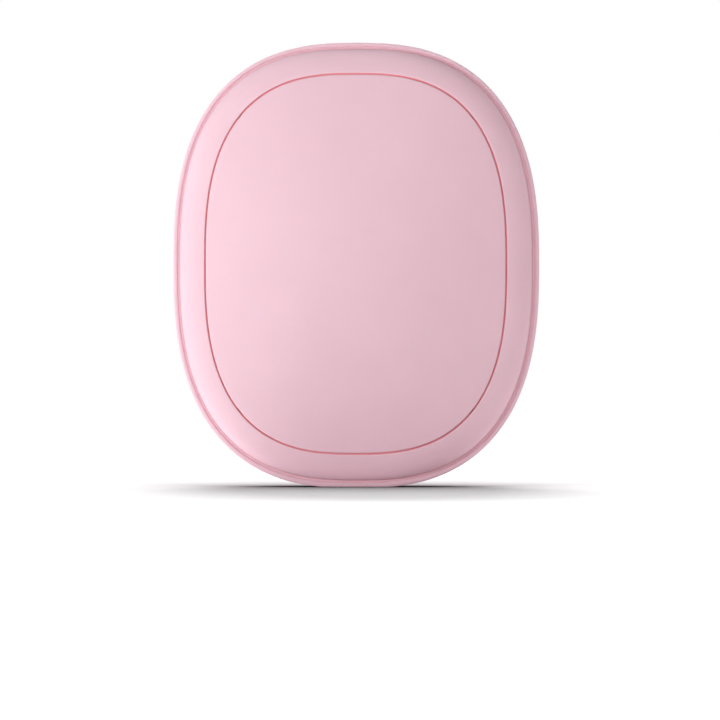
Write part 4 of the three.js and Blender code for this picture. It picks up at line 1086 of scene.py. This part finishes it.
class Look:
    """The node tree of a material or of the world, with short calls for what these share."""

    def __init__(self, owner, constants, colour=None, roughness=None, shader="Principled BSDF"):
        owner.use_nodes = True
        self.owner = owner
        self.nodes = owner.node_tree.nodes
        self.links = owner.node_tree.links
        self.shader = self.nodes[shader]
        self.colour = colour
        self.roughness = roughness
        for socket, value in dict(constants).items():
            self.shader.inputs[socket].default_value = value

    def node(self, kind, inputs=(), **settings):
        """A node with its settings, and with values or links at its input sockets."""
        node = self.nodes.new(f"ShaderNode{kind}")
        for setting, value in settings.items():
            setattr(node, setting, value)
        for socket, value in dict(inputs).items():
            if isinstance(value, bpy.types.NodeSocket):
                self.links.new(value, node.inputs[socket])
            else:
                node.inputs[socket].default_value = value
        return node

    def place(self, kind="Object"):
        return self.node("TexCoord").outputs[kind]

    def noise(self, size, detail, scale=(1, 1, 1)):
        """Noise whose features have a given size in millimetres."""
        place = self.node("Mapping", {"Vector": self.place(), "Scale": scale}).outputs[0]
        inputs = {"Vector": place, "Scale": 1 / (size * MM), "Detail": detail}
        return self.node("TexNoise", inputs).outputs["Fac"]

    def cells(self, size, **settings):
        """Distance to the middle of cells of a given size in millimetres."""
        inputs = {"Vector": self.place(), "Scale": 1 / (size * MM)}
        return self.node("TexVoronoi", inputs, **settings).outputs["Distance"]

    def spread(self, value, low=0, high=1, ends=NOISE_RANGE):
        """A value between two ends, mapped to low and high."""
        sockets = ("From Min", "From Max", "To Min", "To Max")
        inputs = {"Value": value, **dict(zip(sockets, (*ends, low, high)))}
        return self.node("MapRange", inputs).outputs["Result"]

    def maths(self, operation, first, second=0):
        return self.node("Math", {0: first, 1: second}, operation=operation).outputs[0]

    def along(self, axis, kind="Object"):
        return self.node("SeparateXYZ", {"Vector": self.place(kind)}).outputs[axis]

    def from_middle(self, axis):
        """Distance from the middle of the piece, as a share of its whole length along an axis."""
        return self.maths("ABSOLUTE", self.maths("SUBTRACT", self.along(axis, "Generated"), 1 / 2))

    def mix(self, factor, first, second):
        """One colour at factor 0 and another at factor 1."""
        node = self.node("Mix", {0: factor}, data_type="RGBA")
        for socket, colour in ((node.inputs[6], first), (node.inputs[7], second)):
            if isinstance(colour, bpy.types.NodeSocket):
                self.links.new(colour, socket)
            else:
                socket.default_value = colour
        return node.outputs[2]

    def shades(self, factor, amount):
        """The material's colour, darker at factor 0 and lighter at factor 1."""
        base = linear(self.colour)[:3]
        dark = [c * (1 - amount) for c in base] + [1]
        light = [min(c * (1 + amount), 1) for c in base] + [1]
        return self.mix(factor, dark, light)

    def paint(self, colour):
        self.links.new(colour, self.shader.inputs["Base Color"])

    def wear(self, factor, amount):
        """Roughness that wanders about its mean."""
        value = self.spread(factor, self.roughness - amount, self.roughness + amount)
        self.links.new(value, self.shader.inputs["Roughness"])

    def relief(self, height, depth):
        """Relief of a given depth in millimetres."""
        node = self.node("Bump", {"Height": height, "Distance": depth * MM, "Strength": 1.0})
        self.links.new(node.outputs[0], self.shader.inputs["Normal"])

    def for_views(self, shown, output):
        """Gives another shader to a ray from the camera, a mirror or glass."""
        path = self.node("LightPath")
        seen = self.maths("MAXIMUM", path.outputs["Is Camera Ray"], path.outputs["Is Glossy Ray"])
        seen = self.maths("MAXIMUM", seen, path.outputs["Is Transmission Ray"])
        inputs = {0: seen, 1: self.shader.outputs[0], 2: shown.outputs[0]}
        mixed = self.node("MixShader", inputs)
        self.links.new(mixed.outputs[0], self.nodes[output].inputs["Surface"])


def mottled(name, colour, roughness, mottle, wander, grain, constants=()):
    """A look with the patterns of its row. Its paint is kept for a further layer."""
    look = Look(bpy.data.materials.new(name), constants, colour, roughness)
    if mottle:
        size, detail, amount = mottle
        look.plain = look.shades(look.spread(look.noise(size, detail)), amount)
        look.paint(look.plain)
    size, detail, amount = wander
    look.wear(look.noise(size, detail), amount)
    if grain:
        size, detail, depth = grain
        look.relief(look.noise(size, detail), depth)
    return look


def brushed(name, colour, roughness, width, scale):
    """Metal with fine lines along the direction in which the scale is small."""
    look = Look(bpy.data.materials.new(name), {"Metallic": 1.0}, colour, roughness)
    streaks = look.noise(width, STREAK_DETAIL, scale)
    look.paint(look.shades(look.spread(streaks), STREAK_SHADE))
    look.wear(streaks, STREAK_WEAR)
    look.relief(streaks, STREAK_DEPTH)
    return look


def paint_crease_shade(look):
    """Painted shade: a deeper pink in the seam and the groove, where the light only arrives by way
    of other pink walls.
    """
    # The attribute holds how much painted shade each point takes
    depth = look.node("Attribute", attribute_name="crease_shade").outputs["Fac"]
    look.paint(look.mix(depth, look.plain, linear(SEAM_SHADE_PINK)))


def draw_heater(look):
    """The dark even lines of the heater under the amber film."""
    half = HEATER_PITCH * MM / 2
    wave = look.maths("PINGPONG", look.along("Z"), half)
    trace = look.maths("LESS_THAN", wave, half * HEATER_LINE_SHARE)
    look.paint(look.mix(trace, look.plain, linear(HEATER_DARK)))
    look.relief(trace, HEATER_DEPTH)


def open_cells(look):
    """The open cells of a sponge."""
    cell = look.cells(FOAM_CELL)
    factor = look.spread(cell, ends=FOAM_RANGE)
    look.paint(look.mix(factor, linear(FOAM_DARK), linear(FOAM_LIGHT)))
    look.relief(cell, FOAM_DEPTH)


def draw_tracks(look):
    """Copper tracks under the solder mask."""
    cell = look.cells(TRACK_CELL, distance="CHEBYCHEV")
    lines = look.maths("PINGPONG", cell, TRACK_PITCH_SHARE)
    copper = look.spread(lines, ends=TRACK_RANGE)
    look.paint(look.mix(copper, linear(MASK_GREEN), linear(TRACK_GREEN)))
    look.relief(copper, TRACK_DEPTH)


def tin_ends(look):
    """Tinned ends on both sides of the ceramic."""
    tinned = look.maths("GREATER_THAN", look.from_middle("X"), TIN_START)
    look.paint(look.mix(tinned, look.plain, linear(TIN)))
    look.links.new(tinned, look.shader.inputs["Metallic"])


def open_window(look):
    """The yellow of the phosphor in a window of the white body."""
    reach = look.maths("MAXIMUM", look.from_middle("X"), look.from_middle("Y"))
    window = look.maths("LESS_THAN", reach, WINDOW_SHARE)
    look.paint(look.mix(window, look.plain, linear(PHOSPHOR)))
    look.relief(window, -WINDOW_DEPTH)


def make_looks():
    """Every finish of the record by its slot's name, and the gold of the socket's contacts."""
    looks = {name: mottled(name, *row) for name, row in FINISHES.items()}
    looks.update({name: brushed(name, *row) for name, row in METALS.items()})
    # Painted shade in the seam and groove of the pink plastic
    paint_crease_shade(looks["pink_plastic"])
    draw_heater(looks["heater_film"])
    open_cells(looks["foam"])
    draw_tracks(looks["circuit_board"])
    tin_ends(looks["ceramic"])
    open_window(looks["led"])
    return {name: look.owner for name, look in looks.items()}


def dress(node, look, edge):
    """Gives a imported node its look, and rounds its edges a little."""
    for place in node.material_slots:
        place.material = look
    weld = node.modifiers.new("weld", "WELD")
    weld.merge_threshold = MERGE_DISTANCE * MM
    bevel = node.modifiers.new("bevel", "BEVEL")
    bevel.width = edge * MM
    bevel.segments = KEPT_EDGE_STEPS
    bevel.limit_method = "ANGLE"
    bevel.angle_limit = SHARP_ANGLE
    bevel.harden_normals = True


def surroundings():
    """Soft light from all round, and plain white behind the object."""
    world = bpy.data.worlds.new("studio")
    bpy.context.scene.world = world
    glow = {"Color": (*WORLD_COLOUR, 1), "Strength": WORLD_STRENGTH}
    look = Look(world, glow, shader="Background")
    white = look.node("Background", {"Color": (1, 1, 1, 1), "Strength": 1.0})
    look.for_views(white, "World Output")


def floor():
    """A plain pale floor. To the camera it is white, with a shade near and under the object."""
    half = FLOOR_SIZE / 2
    corners = [(-half, -half, 0), (half, -half, 0), (half, half, 0), (-half, half, 0)]
    obj = new_object("floor", (corners, [(0, 1, 2, 3)]))
    obj.data.transform(Matrix.Scale(MM, 4))
    pale = linear((FLOOR_SHADE,) * 3)
    matt = {"Base Color": pale, "Specular IOR Level": 0.0}
    look = Look(bpy.data.materials.new("floor"), matt)
    sky = look.node("AmbientOcclusion", {"Distance": CONTACT_REACH * MM}, samples=CONTACT_SAMPLES)
    contact = look.maths("POWER", sky.outputs["AO"], CONTACT_POWER)
    glow = look.node("Emission", {"Strength": look.maths("MULTIPLY", contact, FLOOR_GLOW)})
    shade = look.mix(contact, (0, 0, 0, 1), linear((THIN_SHADE,) * 3))
    thin = look.node("BsdfDiffuse", {"Color": shade})
    seen = look.node("AddShader", {0: glow.outputs[0], 1: thin.outputs[0]})
    look.for_views(seen, "Material Output")
    obj.data.materials.append(look.owner)
    return obj


def row_point(x, y, z):
    """A point of the case frame in metres in the row frame."""
    return Vector((x, y, z + HALF_HEIGHT)) * MM


def aim(obj, target):
    obj.rotation_euler = (target - obj.location).to_track_quat("-Z", "Y").to_euler()


def lamps():
    for name, place, (width, height), power, colour, shows in LAMPS:
        light = bpy.data.lights.new(name, "AREA")
        light.shape = "RECTANGLE"
        light.size = width * MM
        light.size_y = height * MM
        light.energy = power
        light.color = colour
        lamp = in_scene(name, light)
        lamp.location = row_point(*place)
        lamp.visible_glossy = shows
        aim(lamp, row_point(0, 0, 0))


def rear_light(name, power):
    """Soft even light from behind, which lays the object's shadow on the floor in front."""
    light = bpy.data.lights.new(name, "SUN")
    light.energy = power
    light.angle = math.radians(REAR_SPREAD)
    lamp = in_scene(name, light)
    lamp.rotation_euler = (math.radians(REAR_HEIGHT - 90), 0, math.radians(REAR_TURN))
    return lamp


def shadow_light(ground):
    """The same light for the floor alone, so that its shadow shows and the object stays even."""
    lit = bpy.data.collections.new("floor_alone")
    lit.objects.link(ground)
    rear_light("rear_on_floor", SHADOW_POWER).light_linking.receiver_collection = lit


def camera():
    lens = bpy.data.cameras.new("camera")
    lens.lens = CAMERA_LENS
    lens.clip_end = FLOOR_SIZE * MM
    seer = in_scene("camera", lens)
    turn = math.radians(CAMERA_TURN)
    seer.location = Vector((math.sin(turn), -math.cos(turn), 0)) * CAMERA_DISTANCE * MM
    seer.location.z = CAMERA_HEIGHT * MM
    x, z = CAMERA_AIM
    aim(seer, Vector((x, 0, z)) * MM)
    bpy.context.scene.camera = seer


def pieces():
    middle_frame()
    for side in (FRONT, REAR):
        shell(side)
        panel(side)
    power_button()
    light_guide()
    socket_shell()
    socket_insert()
    socket_contacts()
    for side in (FRONT, REAR):
        heating_side(side)
    pouch_cell()
    battery_leads()
    spring()
    screws()
    for look, edge, *names in KEPT_NODES:
        for name in names:
            dress(NODES[name], LOOKS[look], edge)


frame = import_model()
NODES = frame["nodes"]
bpy.context.scene.view_settings.view_transform = "Standard"
camera()
surroundings()
lamps()
rear_light("rear", REAR_POWER)
shadow_light(floor())
LOOKS = make_looks()
pieces()
